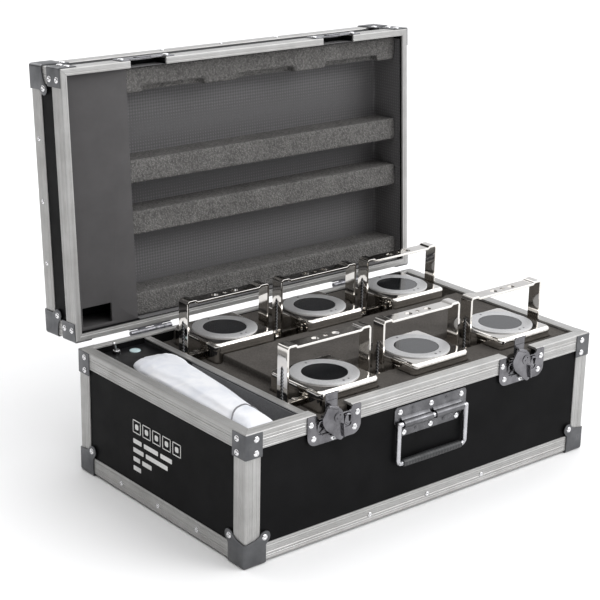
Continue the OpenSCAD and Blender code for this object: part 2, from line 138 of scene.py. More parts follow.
def rounded(points, r, n=5):
    """Closed 2D outline with its corners rounded; r is one radius or one for each point."""
    out = []
    count = len(points)
    for i, p in enumerate(points):
        ri = r[i] if isinstance(r, (list, tuple)) else r
        a, b, c = (Vector(points[(i - 1) % count]), Vector(p), Vector(points[(i + 1) % count]))
        if ri <= 0:
            out.append(b.to_2d())
            continue
        da, dc = (a - b), (c - b)
        half = da.angle(dc) / 2
        cut = min(ri / math.tan(half), da.length * 0.49, dc.length * 0.49)
        ri = cut * math.tan(half)
        da.normalize()
        dc.normalize()
        mid = b + (da + dc).normalized() * (ri / math.sin(half))
        start, end = b + da * cut - mid, b + dc * cut - mid
        for k in range(n + 1):
            v = start.lerp(end, k / n)
            out.append(mid + v.normalized() * ri)
    return [(p.x, p.y) for p in out]


def circle(r, n=32, cx=0.0, cy=0.0):
    return [(cx + r * math.cos(2 * math.pi * k / n), cy + r * math.sin(2 * math.pi * k / n))
            for k in range(n)]


def prism(bm, outline, w0, w1, m=None, r=0.0, seg=2, holes=(), skip=None, both=False):
    """Plate with an outline and holes, from w0 to w1, with its upper edges rounded by r."""
    part = bmesh.new()
    loops = [outline, *holes]
    edges = []
    for loop in loops:
        vs = [part.verts.new((p[0], p[1], w0)) for p in loop]
        edges += [part.edges.new((vs[k], vs[(k + 1) % len(vs)])) for k in range(len(vs))]
    if holes:
        bmesh.ops.triangle_fill(part, edges=edges, use_beauty=True, use_dissolve=False)
    else:
        part.faces.new([e.verts[0] for e in edges])
    grown = bmesh.ops.extrude_face_region(part, geom=part.faces[:])
    top = [g for g in grown["geom"] if isinstance(g, bmesh.types.BMVert)]
    bmesh.ops.translate(part, verts=top, vec=(0, 0, w1 - w0))
    bmesh.ops.recalc_face_normals(part, faces=part.faces[:])
    if r:
        rim = []
        for e in part.edges:
            levels = [abs(v.co.z - w1) < 1e-5 for v in e.verts]
            lower = [abs(v.co.z - w0) < 1e-5 for v in e.verts]
            if not (all(levels) or (both and all(lower))):
                continue
            if len(e.link_faces) == 2 and e.calc_face_angle(0) > 0.8:
                if skip is None or not skip(*(v.co.to_2d() for v in e.verts)):
                    rim.append(e)
        bmesh.ops.bevel(part, geom=rim, offset=r, segments=seg, profile=0.5, affect="EDGES",
                        clamp_overlap=True)
    add(bm, part, m)


def lathe(bm, profile, m=None, n=32):
    """Solid of revolution about w; the profile is (radius, height) points."""
    part = bmesh.new()
    rows = []
    for rad, h in profile:
        if rad < 1e-6:
            rows.append([part.verts.new((0, 0, h))])
        else:
            rows.append([part.verts.new((x, y, h)) for x, y in circle(rad, n)])
    for a, b in zip(rows, rows[1:]):
        for k in range(n):
            quad = [a[k % len(a)], a[(k + 1) % len(a)], b[(k + 1) % len(b)], b[k % len(b)]]
            face = list(dict.fromkeys(quad))
            if len(face) > 2:
                part.faces.new(face)
    if len(rows[0]) > 1 and profile[0] != profile[-1]:
        part.faces.new(rows[0][::-1])
    if len(rows[-1]) > 1 and profile[0] != profile[-1]:
        part.faces.new(rows[-1])
    if profile[0] == profile[-1]:
        bmesh.ops.remove_doubles(part, verts=part.verts[:], dist=1e-5)
    bmesh.ops.recalc_face_normals(part, faces=part.faces[:])
    add(bm, part, m)


def bend_path(points, r, n=5):
    """Open 3D path with rounded corners."""
    out = [Vector(points[0])]
    for a, b, c in zip(points, points[1:], points[2:]):
        a, b, c = Vector(a), Vector(b), Vector(c)
        da, dc = a - b, c - b
        half = da.angle(dc) / 2
        cut = min(r / math.tan(half), da.length * 0.49, dc.length * 0.49)
        ri = cut * math.tan(half)
        da.normalize()
        dc.normalize()
        mid = b + (da + dc).normalized() * (ri / math.sin(half))
        start, end = b + da * cut - mid, b + dc * cut - mid
        for k in range(n + 1):
            out.append(mid + start.lerp(end, k / n).normalized() * ri)
    out.append(Vector(points[-1]))
    return out


def sweep(bm, path, section, up, m=None):
    """Closed 2D section carried along a path; section x runs along `up` crossed with the path."""
    part = bmesh.new()
    up = Vector(up)
    rows = []
    for i, p in enumerate(path):
        a = path[max(i - 1, 0)]
        b = path[min(i + 1, len(path) - 1)]
        t = (b - a).normalized()
        side = up.cross(t).normalized()
        top = t.cross(side).normalized()
        stretch = 1.0
        if 0 < i < len(path) - 1:
            d0, d1 = (p - a).normalized(), (b - p).normalized()
            stretch = 1 / max(math.cos(d0.angle(d1) / 2), 0.5)
        rows.append([part.verts.new(p + side * (x * stretch) + top * y) for x, y in section])
    n = len(section)
    for a, b in zip(rows, rows[1:]):
        for k in range(n):
            part.faces.new((a[k], a[(k + 1) % n], b[(k + 1) % n], b[k]))
    part.faces.new(rows[0][::-1])
    part.faces.new(rows[-1])
    bmesh.ops.recalc_face_normals(part, faces=part.faces[:])
    add(bm, part, m)


def piece(bm, name, material, body, replaces=(), angle=38, m=None):
    """Turns a millimetre bmesh into an object in metres that rides on a body."""
    if m is not None:
        bm.transform(m)
    ob = link(name, to_mesh(bm, name, angle))
    ob.data.materials.append(material)
    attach(ob, body)
    if replaces:
        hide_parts(*replaces)
    return ob


def settle(ob, angle=None):
    """Applies the modifiers of an object."""
    dg = bpy.context.evaluated_depsgraph_get()
    me = bpy.data.meshes.new_from_object(ob.evaluated_get(dg))
    ob.modifiers.clear()
    old = ob.data
    ob.data = me
    me.name = ob.name
    bpy.data.meshes.remove(old)
    if angle is not None:
        me.shade_smooth()
        me.set_sharp_from_angle(angle=math.radians(angle))


def cut(ob, *cutters, angle):
    """Cuts millimetre bmeshes out of an object."""
    made = []
    for bm in cutters:
        other = link("cutter", to_mesh(bm, "cutter"))
        made.append(other)
        mod = ob.modifiers.new("cut", "BOOLEAN")
        mod.operation = "DIFFERENCE"
        mod.solver = "EXACT"
        mod.object = other
    settle(ob, angle)
    for other in made:
        me = other.data
        bpy.data.objects.remove(other)
        bpy.data.meshes.remove(me)


def thicken(ob, thickness, angle):
    """Gives a sheet its thickness, half on each side."""
    mod = ob.modifiers.new("thickness", "SOLIDIFY")
    mod.thickness = thickness * MM
    mod.offset = 0.0
    settle(ob, angle)


def soften(name, width):
    """Rounds the edges of a kept CAD node."""
    mod = NODE[name].modifiers.new("edge", "BEVEL")
    mod.width = width * MM
    mod.segments = 2
    mod.limit_method = "ANGLE"
    mod.angle_limit = math.radians(35)


def dress(material, *names):
    """Gives CAD nodes a material."""
    for n in names:
        me = NODE[n].data
        me.materials.clear()
        me.materials.append(material)


# ---------------------------------------------------------------- materials
class Paint:
    """Small builder for one procedural material; coordinates are metres in the object's frame."""

    def __init__(self, name, color, rough, metal=0.0, **extra):
        self.material = bpy.data.materials.new(name)
        self.material.use_nodes = True
        self.tree = self.material.node_tree
        self.bsdf = self.tree.nodes["Principled BSDF"]
        self.set("Base Color", (*color, 1))
        self.set("Roughness", rough)
        self.set("Metallic", metal)
        for key, value in extra.items():
            self.set(key.replace("_", " "), value)

    def set(self, socket, value):
        if isinstance(value, bpy.types.NodeSocket):
            self.tree.links.new(value, self.bsdf.inputs[socket])
        else:
            self.bsdf.inputs[socket].default_value = value

    def node(self, kind, out=0, **inputs):
        n = self.tree.nodes.new(kind)
        for key, value in inputs.items():
            key = key.replace("_", " ")
            if key in n.inputs:
                if isinstance(value, bpy.types.NodeSocket):
                    self.tree.links.new(value, n.inputs[key])
                else:
                    n.inputs[key].default_value = value
            else:
                setattr(n, key.replace(" ", "_"), value)
        return n.outputs[out]

    def where(self, stretch=(1, 1, 1), flow=False):
        source = (self.node("ShaderNodeUVMap", uv_map="flow") if flow
                  else self.node("ShaderNodeTexCoord", out=3))
        return self.node("ShaderNodeMapping", Vector=source, Scale=stretch)

    def noise(self, scale, detail=3, rough=0.55, at=None, distortion=0.0):
        return self.node("ShaderNodeTexNoise", Vector=at or self.where(), Scale=scale,
                         Detail=detail, Roughness=rough, Distortion=distortion)

    def cells(self, scale, feature="F1"):
        return self.node("ShaderNodeTexVoronoi", Vector=self.where(), Scale=scale,
                         feature=feature)

    def math(self, operation, *values):
        n = self.tree.nodes.new("ShaderNodeMath")
        n.operation = operation
        for k, value in enumerate(values):
            if isinstance(value, bpy.types.NodeSocket):
                self.tree.links.new(value, n.inputs[k])
            else:
                n.inputs[k].default_value = value
        return n.outputs[0]

    def range(self, fac, lo, hi, to_lo, to_hi):
        n = self.tree.nodes.new("ShaderNodeMapRange")
        self.tree.links.new(fac, n.inputs[0])
        for k, v in enumerate((lo, hi, to_lo, to_hi)):
            n.inputs[k + 1].default_value = v
        return n.outputs[0]

    def tint(self, fac, a, b, lo=0.35, hi=0.65):
        n = self.tree.nodes.new("ShaderNodeValToRGB")
        self.tree.links.new(fac, n.inputs[0])
        n.color_ramp.elements[0].position = lo
        n.color_ramp.elements[0].color = (*a, 1)
        n.color_ramp.elements[1].position = hi
        n.color_ramp.elements[1].color = (*b, 1)
        return n.outputs[0]

    def blend(self, fac, a, b, mode="MIX"):
        n = self.tree.nodes.new("ShaderNodeMix")
        n.data_type = "RGBA"
        n.blend_type = mode
        for socket, value in ((n.inputs[0], fac), (n.inputs[6], a), (n.inputs[7], b)):
            if isinstance(value, bpy.types.NodeSocket):
                self.tree.links.new(value, socket)
            else:
                socket.default_value = value if isinstance(value, float) else (*value, 1)
        return n.outputs[2]

    def bump(self, height, strength, distance, below=None):
        n = self.tree.nodes.new("ShaderNodeBump")
        n.inputs["Strength"].default_value = strength
        n.inputs["Distance"].default_value = distance
        self.tree.links.new(height, n.inputs["Height"])
        if below:
            self.tree.links.new(below, n.inputs["Normal"])
        return n.outputs[0]


def metal(name, dark, light, rough, streaks=None, flow=False, blotch=60, bump=0.05, spread=0.12,
          metallic=1.0):
    """Metal with blotches and, where streaks is given, fine lines along its length."""
    p = Paint(name, light, rough, metallic)
    fac = p.noise(blotch, 4, 0.6)
    if streaks:
        lines = p.noise(1.0, 3, 0.6, at=p.where(streaks, flow))
        fac = p.math("MULTIPLY_ADD", fac, 0.35, p.math("MULTIPLY", lines, 0.65))
        p.set("Normal", p.bump(lines, bump, 0.0004))
    else:
        p.set("Normal", p.bump(p.noise(900, 2, 0.6), bump, 0.0003))
    p.set("Base Color", p.tint(fac, dark, light))
    p.set("Roughness", p.range(fac, 0.3, 0.7, rough + spread, rough - spread * 0.4))
    return p.material


def foam(name, dark, light, cell, bump, coarse=30.0):
    """Open-cell foam: cell hollows of one size, darker where they sink as painted shade, over soft
    changes of tone.
    """
    p = Paint(name, light, 0.95, 0.0, Specular_IOR_Level=0.25)
    pits_and_shade = p.cells(1.0 / cell)
    grain = p.noise(0.6 / cell, 4, 0.7)
    # the grain tone is the foam's own; the darker cell edges are painted shade in the hollows
    mixed = p.blend(0.5, p.tint(grain, dark, light, 0.3, 0.7), p.tint(pits_and_shade, light, dark, 0.1, 0.7))
    soft = p.tint(p.noise(coarse, 2, 0.5), (0.82, 0.82, 0.82), (1, 1, 1))
    p.set("Base Color", p.blend(1.0, mixed, soft, "MULTIPLY"))
    low = p.bump(grain, bump, cell * 0.7)
    p.set("Normal", p.bump(p.range(pits_and_shade, 0, 0.6, 1, 0), bump, cell * 0.4, low))
    return p.material


def laminate():
    p = Paint("laminate", (0.012, 0.012, 0.013), 0.42, Specular_IOR_Level=0.04)
    pebble = p.cells(900, feature="SMOOTH_F1")
    tone = p.noise(14, 4, 0.6)
    p.set("Base Color", p.tint(tone, (0.0052, 0.0052, 0.0055), (0.0085, 0.0085, 0.0090)))
    p.set("Roughness", p.range(p.noise(35, 5, 0.7), 0.3, 0.7, 0.36, 0.5))
    p.set("Normal", p.bump(pebble, 0.22, 0.0003))
    return p.material


def woven(name, dark, light, pitch, bump=0.6):
    """Lining with a regular dotted weave."""
    p = Paint(name, light, 0.85, 0.0, Specular_IOR_Level=0.2, Sheen_Weight=0.15)
    at = p.where((1 / pitch,) * 3)
    parts = p.node("ShaderNodeSeparateXYZ", Vector=at)
    waves = [p.math("SINE", p.math("MULTIPLY", axis, 2 * math.pi)) for axis in parts.node.outputs]
    total = p.math("ADD", p.math("ADD", waves[0], waves[1]), waves[2])
    dots = p.range(total, 0.0, 2.0, 0.0, 1.0)
    fibre = p.noise(700, 3, 0.7)
    tone = p.blend(0.35, p.tint(dots, dark, light, 0.15, 0.75), p.tint(fibre, dark, light))
    p.set("Base Color", tone)
    p.set("Normal", p.bump(dots, bump, 0.0008, p.bump(fibre, 0.3, 0.0004)))
    return p.material


def fuzzy(name, dark, light, scale=500, sheen=0.35):
    p = Paint(name, light, 0.95, 0.0, Specular_IOR_Level=0.15, Sheen_Weight=sheen)
    fibre = p.noise(scale, 5, 0.75, distortion=1.5)
    p.set("Base Color", p.tint(fibre, dark, light))
    p.set("Normal", p.bump(fibre, 0.6, 0.0012))
    return p.material


def plastic(name, dark, light, rough, grain=800, bump=0.1, **extra):
    p = Paint(name, light, rough, 0.0, **extra)
    p.set("Base Color", p.tint(p.noise(22, 4, 0.6), dark, light))
    p.set("Roughness", p.range(p.noise(40, 5, 0.7), 0.3, 0.7, rough * 0.75, rough * 1.3))
    p.set("Normal", p.bump(p.noise(grain, 3, 0.6), bump, 0.0002))
    return p.material


ALUMINIUM = metal("edge_aluminium", (0.33, 0.325, 0.315), (0.49, 0.487, 0.48), 0.40,
                  (2.5, 1100, 1), True, 35, 0.12, 0.12, 0.65)
ZINC = metal("zinc_steel", (0.10, 0.102, 0.107), (0.135, 0.137, 0.142), 0.30, blotch=45, bump=0.05)
RIVET = metal("rivet_steel", (0.62, 0.62, 0.63), (0.84, 0.84, 0.85), 0.16, blotch=300, bump=0.04)
HINGE_STEEL = metal("hinge_steel", (0.16, 0.16, 0.17), (0.30, 0.30, 0.32), 0.34, blotch=240)
LATCH = metal("latch_steel", (0.125, 0.123, 0.131), (0.215, 0.212, 0.224), 0.20, blotch=45, bump=0.05)
HANDLE_STEEL = metal("handle_steel", (0.115, 0.115, 0.12), (0.165, 0.165, 0.173), 0.28, blotch=70,
                     bump=0.06)
WIRE = metal("wire_steel", (0.42, 0.42, 0.44), (0.66, 0.66, 0.68), 0.26, (900, 900, 8), blotch=90)
MIRROR = metal("mirror_chrome", (0.70, 0.675, 0.64), (0.80, 0.775, 0.74), 0.04, blotch=25,
               bump=0.012, spread=0.05)
SATIN = metal("satin_ring", (0.54, 0.54, 0.545), (0.62, 0.62, 0.625), 0.50, blotch=500, bump=0.08,
              spread=0.06, metallic=0.7)
LAMINATE = laminate()
BROWN_FOAM = foam("brown_foam", (0.055, 0.050, 0.045), (0.115, 0.105, 0.096), 0.0015, 0.5)
GREY_FOAM = foam("grey_foam", (0.070, 0.068, 0.066), (0.235, 0.228, 0.220), 0.0026, 0.8)
LINING = woven("lining_fabric", (0.100, 0.098, 0.100), (0.165, 0.162, 0.165), 0.0042, 0.4)
GREY_PANEL = plastic("grey_panel", (0.074, 0.071, 0.072), (0.084, 0.081, 0.082), 0.62, 900, 0.25,
                     Specular_IOR_Level=0.2)
FELT = fuzzy("felt", (0.085, 0.085, 0.088), (0.160, 0.160, 0.165))
BLACK_PANEL = plastic("black_panel", (0.008, 0.008, 0.009), (0.013, 0.013, 0.014), 0.36, 500, 0.05,
                      Specular_IOR_Level=0.2)
DIVIDER = fuzzy("divider_board", (0.016, 0.016, 0.018), (0.035, 0.035, 0.038), 350, 0.1)
RUBBER = plastic("grip_rubber", (0.018, 0.019, 0.020), (0.034, 0.035, 0.037), 0.42, 1400, 0.35)
LENS = plastic("indicator_lens", (0.50, 0.66, 0.68), (0.66, 0.82, 0.84), 0.22, 600, 0.04,
               Coat_Weight=0.5)
SUPPLY = metal("supply_case", (0.38, 0.39, 0.40), (0.55, 0.56, 0.57), 0.4, blotch=80)
BOARD = plastic("electronics", (0.02, 0.07, 0.035), (0.035, 0.11, 0.055), 0.45, 1500, 0.3)
GLASS = plastic("dark_glass", (0.006, 0.0065, 0.0075), (0.011, 0.012, 0.0135), 0.10, 300, 0.01,
                Coat_Weight=0.3)
MARK_WHITE = plastic("mark_white", (0.66, 0.66, 0.65), (0.80, 0.80, 0.79), 0.6, 900, 0.1)
HEM = plastic("hem_thread", (0.16, 0.16, 0.17), (0.26, 0.26, 0.275), 0.8)
SCREW = metal("screw_steel", (0.10, 0.10, 0.105), (0.25, 0.25, 0.26), 0.3, blotch=500)


def white_cloth():
    p = Paint("white_fabric", (0.86, 0.87, 0.9), 0.62, 0.0, Specular_IOR_Level=0.3,
              Sheen_Weight=0.25)
    weave = p.noise(1.0, 2, 0.5, at=p.where((2600, 700, 2600)))
    folds_and_shade = p.noise(28, 4, 0.6, distortion=0.6)
    # painted shade: the cloth turns darker and bluer along the same noise that bumps its creases
    p.set("Base Color", p.tint(folds_and_shade, (0.66, 0.68, 0.73), (0.79, 0.795, 0.815)))
    p.set("Normal", p.bump(weave, 0.12, 0.0003, p.bump(folds_and_shade, 0.25, 0.003)))
    return p.material


WHITE = white_cloth()

# ---------------------------------------------------------------- ribbed edge profiles
def flutes(bands, n=4):
    """(distance, depth) points of grooves; each band is (start, end, depth)."""
    out = []
    for a, b, depth in bands:
        out += [(a + (b - a) * k / n, depth * math.sin(math.pi * k / n)) for k in range(n + 1)]
    return out


EDGE_BANDS = [(3.6, 4.6, 0.35), (5.9, 6.9, 0.35), (9.2, 10.8, 0.65), (12.2, 14.2, 0.3),
              (14.9, 16.9, 0.3), (17.9, 19.6, 0.4)]
MOUTH_BANDS = [(5.6, 6.6, 0.35), (9.0, 10.6, 0.6), (12.0, 14.0, 0.3), (14.8, 16.8, 0.3),
               (17.8, 19.6, 0.4)]
END = [(20.9, 0.0), (21.7, 0.35), (22.0, 0.9), (22.0, 1.6)]


def angle_section(r=2.2):
    """Outline of an angle profile; its two outer faces lie on the axes."""
    face = [(r, 0.0)] + flutes(EDGE_BANDS) + END
    arc = [(r - r * math.sin(a), r - r * math.cos(a))
           for a in (math.pi / 2 * k / 5 for k in range(1, 5))]
    return face[::-1] + arc + [(d, t) for t, d in face] + [(1.6, 1.6)]


def mouth_section(rim, lip=3.0, r=1.6):
    """(inset, depth from the mouth) outline of the profile round a mouth."""
    top = [(rim, lip), (rim, 0.7), (rim - 0.25, 0.2), (rim - 0.8, 0.0)]
    top += [(rim - a, d) for a, d in flutes([(2.4, 3.4, 0.3)])]
    if rim > 15:
        top += [(rim - a, d) for a, d in flutes([(8.5, 9.5, 0.25)])]
    top += [(IN_PROFILE + r - r * math.sin(a), r - r * math.cos(a))
            for a in (math.pi / 2 * k / 5 for k in range(6))]
    face = [(IN_PROFILE + d, t) for t, d in flutes(MOUTH_BANDS) + END]
    return top + face + [(IN_PANEL, lip)]


def strip(bm, start, end, across, along):
    """Closed outline carried from start to end, with its flow written as UV."""
    uv = bm.loops.layers.uv.get("flow") or bm.loops.layers.uv.new("flow")
    a = [bm.verts.new(p) for p in start]
    b = [bm.verts.new(p) for p in end]
    dist = 0.0
    n = len(a)
    for k in range(n):
        j = (k + 1) % n
        step = (a[j].co - a[k].co).length
        face = bm.faces.new((a[k], a[j], b[j], b[k]))
        length = (b[k].co - a[k].co).length
        for loop, (u, v) in zip(face.loops, ((0, dist), (0, dist + step),
                                             (length, dist + step), (length, dist))):
            loop[uv].uv = ((u + along) * MM, (v + across) * MM)
        dist += step
    bm.faces.new(a[::-1])
    bm.faces.new(b)


def ring(bm, section, rear_cut=0.0, seam=0.14):
    """Carries an (inset, height) outline round the four sides, mitred at the corners."""
    def corner(sx, sy, inset):
        back = inset - rear_cut * min(max((inset - 6) / 8, 0), 1) if sy > 0 else inset
        return Vector((sx * (HX - inset), sy * (HY - back), 0))

    sides = [((-1, -1), (1, -1)), ((1, -1), (1, 1)), ((1, 1), (-1, 1)), ((-1, 1), (-1, -1))]
    for k, (c0, c1) in enumerate(sides):
        step = Vector((c1[0] - c0[0], c1[1] - c0[1], 0)).normalized() * seam
        start = [corner(*c0, i) + Vector((0, 0, z)) + step for i, z in section]
        end = [corner(*c1, i) + Vector((0, 0, z)) - step for i, z in section]
        strip(bm, start, end, 100 * k, 700 * k)


def uprights(bm, z0, z1):
    """Angle profiles at the four corners."""
    for k, (sx, sy) in enumerate(((-1, -1), (1, -1), (1, 1), (-1, 1))):
        points = [Vector((sx * (HX - IN_PROFILE - a), sy * (HY - IN_PROFILE - b), 0))
                  for a, b in angle_section()]
        strip(bm, [p + Vector((0, 0, z0)) for p in points],
              [p + Vector((0, 0, z1)) for p in points], 100 * k + 50, 900 * k)


def notch_cutters(z0, z1):
    """Blocks that open the front rim for the two latches."""
    out = []
    for s in (-1, 1):
        bm = bmesh.new()
        box(bm, s * LATCH_X - 27, s * LATCH_X + 27, -HY - 3, -HY + 19, z0, z1)
        out.append(bm)
    return out


def profiles(name, mouth, inward, end, rim, rear_cut, body, node, m=None, extra=None):
    """One half of the case: profiles at the mouth, at the closed end and at the corners."""
    bm = bmesh.new()
    ring(bm, [(i, mouth + inward * d) for i, d in mouth_section(rim)], rear_cut)
    ring(bm, [(IN_PROFILE + a, end - inward * b) for a, b in angle_section()])
    uprights(bm, *sorted((mouth + inward * 22.3, end - inward * 22.3)))
    if extra:
        extra(bm)
    bmesh.ops.recalc_face_normals(bm, faces=bm.faces[:])
    ob = piece(bm, name, ALUMINIUM, body, [node], angle=30)
    low, high = sorted((mouth - inward * 2, mouth + inward * 13.0))
    cut(ob, *notch_cutters(low, high), angle=30)
    if m is not None:
        ob.data.transform(Matrix.Scale(MM, 4) @ m @ Matrix.Scale(1 / MM, 4))
    return ob


def divider_strip(bm):
    """Ribbed strip on top of the divider."""
    section = [(-5, 0), (-5, 1.2), (-4.6, 1.6), (-1.2, 1.6), (-0.8, 1.3), (0.8, 1.3),
               (1.2, 1.6), (4.6, 1.6), (5, 1.2), (5, 0)]
    y0, y1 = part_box("divider")[0].y / MM + 7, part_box("divider")[1].y / MM - 1
    x, z = (DIV_L + DIV_R) / 2, BASE_H - 5
    strip(bm, [Vector((x + a, y0, z + b)) for a, b in section],
          [Vector((x + a, y1, z + b)) for a, b in section], 500, 5000)


profiles("base_edge_profiles", BASE_H - 0.2, -1, IN_PROFILE, 18.0, 6.0, "case_base",
         "base_profiles", extra=divider_strip)
profiles("lid_edge_profiles", BASE_H + 0.2, 1, TOP_Z - IN_PROFILE, 12.0, 0.0, "lid",
         "lid_profiles", m=LID)


# ---------------------------------------------------------------- corner caps and plates
EAR = (30.0, 34.0, 7.6)          # centre and radius of the ear on a cap's upright face
CAP = 31.6                       # reach of a cap along each edge


def ear_outline(r):
    """Half of a cap's upright face, from its corner edge at u = r out to the ear."""
    cx, cz, er = EAR
    pts = [(r, r), (CAP, r), (CAP, 24.0), (cx + er * 0.82, cz - er * 0.57)]
    pts += [(cx + er * math.cos(a), cz + er * math.sin(a))
            for a in (math.radians(d) for d in range(-20, 141, 16))]
    return pts + [(cx - er * 0.95, cz + er * 0.32), (17.0, 33.4), (r, 31.0)]


def corner_cap(bm, m, r=3.6, t=1.5, foot=0.0):
    """Pressed steel cap at a bottom corner, drawn at the left front and foot above the floor;
    m carries it to the other corners."""
    local = Matrix.Translation((-HX + 0.9, -HY + 0.9, foot))

    def seam_edge(a, b):
        return (abs(a.x - r) < 1e-4 and abs(b.x - r) < 1e-4) or (
            abs(a.y - r) < 1e-4 and abs(b.y - r) < 1e-4)

    front = Matrix(((1, 0, 0), (0, 0, -1), (0, 1, 0))).to_4x4()
    side = Matrix(((0, 0, -1), (1, 0, 0), (0, 1, 0))).to_4x4()
    under = Matrix(((1, 0, 0), (0, 1, 0), (0, 0, -1))).to_4x4()
    for turn in (front, side):
        prism(bm, ear_outline(r), -t, 0, m @ local @ turn, r=0.45, skip=seam_edge)
    flat = [(r, r), (CAP, r), (CAP, 24), (24, CAP), (r, CAP)]
    prism(bm, flat, -t - 1.0, 0, m @ local @ under, r=0.45, skip=seam_edge)
    arc = [math.pi / 2 * k / 6 for k in range(7)]
    outer = [(r - r * math.cos(a), r - r * math.sin(a)) for a in arc]
    inner = [(r - (r - t) * math.cos(a), r - (r - t) * math.sin(a)) for a in reversed(arc)]
    bar = outer + inner
    along_x = Matrix(((0, 0, 1), (1, 0, 0), (0, 1, 0))).to_4x4()
    along_y = Matrix(((0, 1, 0), (0, 0, 1), (1, 0, 0))).to_4x4()
    for turn, length in ((Matrix.Identity(4), 31.0), (along_x, CAP), (along_y, CAP)):
        prism(bm, bar, r, length, m @ local @ turn)
    ball = bmesh.new()
    bmesh.ops.create_uvsphere(ball, u_segments=24, v_segments=12, radius=r)
    for axis in ((1, 0, 0), (0, 1, 0), (0, 0, 1)):
        bmesh.ops.bisect_plane(ball, geom=ball.verts[:] + ball.edges[:] + ball.faces[:],
                               plane_co=(0, 0, 0), plane_no=axis, clear_outer=True)
    add(bm, ball, m @ local @ Matrix.Translation((r, r, r)))


def mouth_plate(bm, m, z0, z1, r=2.2, t=1.2, w=25.0):
    """Folded plate round a corner beside the mouth, drawn at the left front."""
    arc = [math.pi / 2 * k / 5 for k in range(6)]
    outer = ([(w, 0.5), (w - 0.5, 0.0)]
             + [(r - r * math.sin(a), r - r * math.cos(a)) for a in arc]
             + [(0.0, w - 0.5), (0.5, w)])
    inner = [(t, w), (t, t + 0.6), (t + 0.6, t), (w, t)]
    outline = [(x + IN_PLATE - HX, y + IN_PLATE - HY) for x, y in outer + inner]
    prism(bm, outline, z0, z1, m, r=0.3, seg=1, both=True)


CORNERS = [Matrix.Diagonal((sx, sy, 1, 1)) for sx in (1, -1) for sy in (1, -1)]
FLIP = Matrix.Translation((0, 0, TOP_Z)) @ Matrix.Diagonal((1, 1, -1, 1))

bm = bmesh.new()
for corner in CORNERS:
    corner_cap(bm, corner)
    mouth_plate(bm, corner, BASE_H - 31, BASE_H - 0.9)
piece(bm, "base_corner_caps", ZINC, "case_base", ["base_corners"])

bm = bmesh.new()
for corner in CORNERS:
    corner_cap(bm, FLIP @ corner, foot=0.4)
    mouth_plate(bm, corner, BASE_H + 0.9, BASE_H + 31)
piece(bm, "lid_corner_caps", ZINC, "lid", ["lid_corners"], m=LID)


# ---------------------------------------------------------------- rivets
DOME = [(4.0, 0.0), (3.95, 0.45), (3.4, 1.05), (2.5, 1.42), (1.7, 1.45), (1.2, 1.05), (0.8, 0.7),
        (0.0, 0.6)]


def rivet(bm, face, x, y, z, size=1.0, sink=0.0, m=None):
    place = on(face, x, y, z) @ Matrix.Translation((0, 0, -sink)) @ Matrix.Scale(size, 4)
    lathe(bm, DOME, place if m is None else m @ place, n=20)


def corner_rivets(bm, z_cap, z_low, z_high, m=None):
    for sx in (-1, 1):
        for sy in (-1, 1):
            side = "left" if sx < 0 else "right"
            end = "front" if sy < 0 else "back"
            x, y = sx * HX, sy * HY
            rivet(bm, end, x - sx * EAR[0], y - sy * 0.95, z_cap, m=m)
            rivet(bm, side, x - sx * 0.95, y - sy * EAR[0], z_cap, m=m)
            for z in (z_low, z_high):
                rivet(bm, end, x - sx * 17, y - sy * IN_PLATE, z, m=m)
                rivet(bm, side, x - sx * IN_PLATE, y - sy * 17, z, m=m)


def band_rivets(bm, z, m=None):
    for s in (-1, 1):
        for x in (-95, 0, 95):
            rivet(bm, "front" if s < 0 else "back", x, s * (HY - IN_PROFILE), z, 0.8, m=m)
        for y in (-80, 0, 80):
            rivet(bm, "left" if s < 0 else "right", s * (HX - IN_PROFILE), y, z, 0.8, m=m)


bm = bmesh.new()
corner_rivets(bm, EAR[1], BASE_H - 25, BASE_H - 8)
band_rivets(bm, IN_PROFILE + PROFILE_W / 2)
for s in (-1, 1):
    for dx, dz in ((-35, 4.5), (-31, -13.4), (-1.5, -18), (31, -13.4), (35, 4.5)):
        rivet(bm, "front", s * LATCH_X + dx, -HY + IN_PLATE, LATCH_Z + dz)
    for dx in (-22, 22):
        rivet(bm, "back", s * HINGE_X + dx, HY - IN_PLATE, BASE_H - 17)
for dx, dz in ((-51, 14), (0, 14), (51, 14), (-44, -13), (0, -13), (44, -13)):
    rivet(bm, "front", dx, -HY + IN_PANEL - 1.2, HANDLE_Z + dz)
piece(bm, "base_rivet_heads", RIVET, "case_base", ["base_rivets"], angle=60)

bm = bmesh.new()
corner_rivets(bm, TOP_Z - EAR[1], BASE_H + 8, BASE_H + 25)
band_rivets(bm, TOP_Z - IN_PROFILE - PROFILE_W / 2)
for s in (-1, 1):
    for dx in (-34, 34):
        rivet(bm, "front", s * LATCH_X + dx, -HY + IN_PLATE, BASE_H + 12)
    for dx in (-22, 22):
        rivet(bm, "back", s * HINGE_X + dx, HY - IN_PLATE, BASE_H + 17)
piece(bm, "lid_rivet_heads", RIVET, "lid", ["lid_rivets"], angle=60, m=LID)


# ---------------------------------------------------------------- uplights
def square(half, r, n=7):
    return rounded([(-half, -half), (half, -half), (half, half), (-half, half)], r, n)


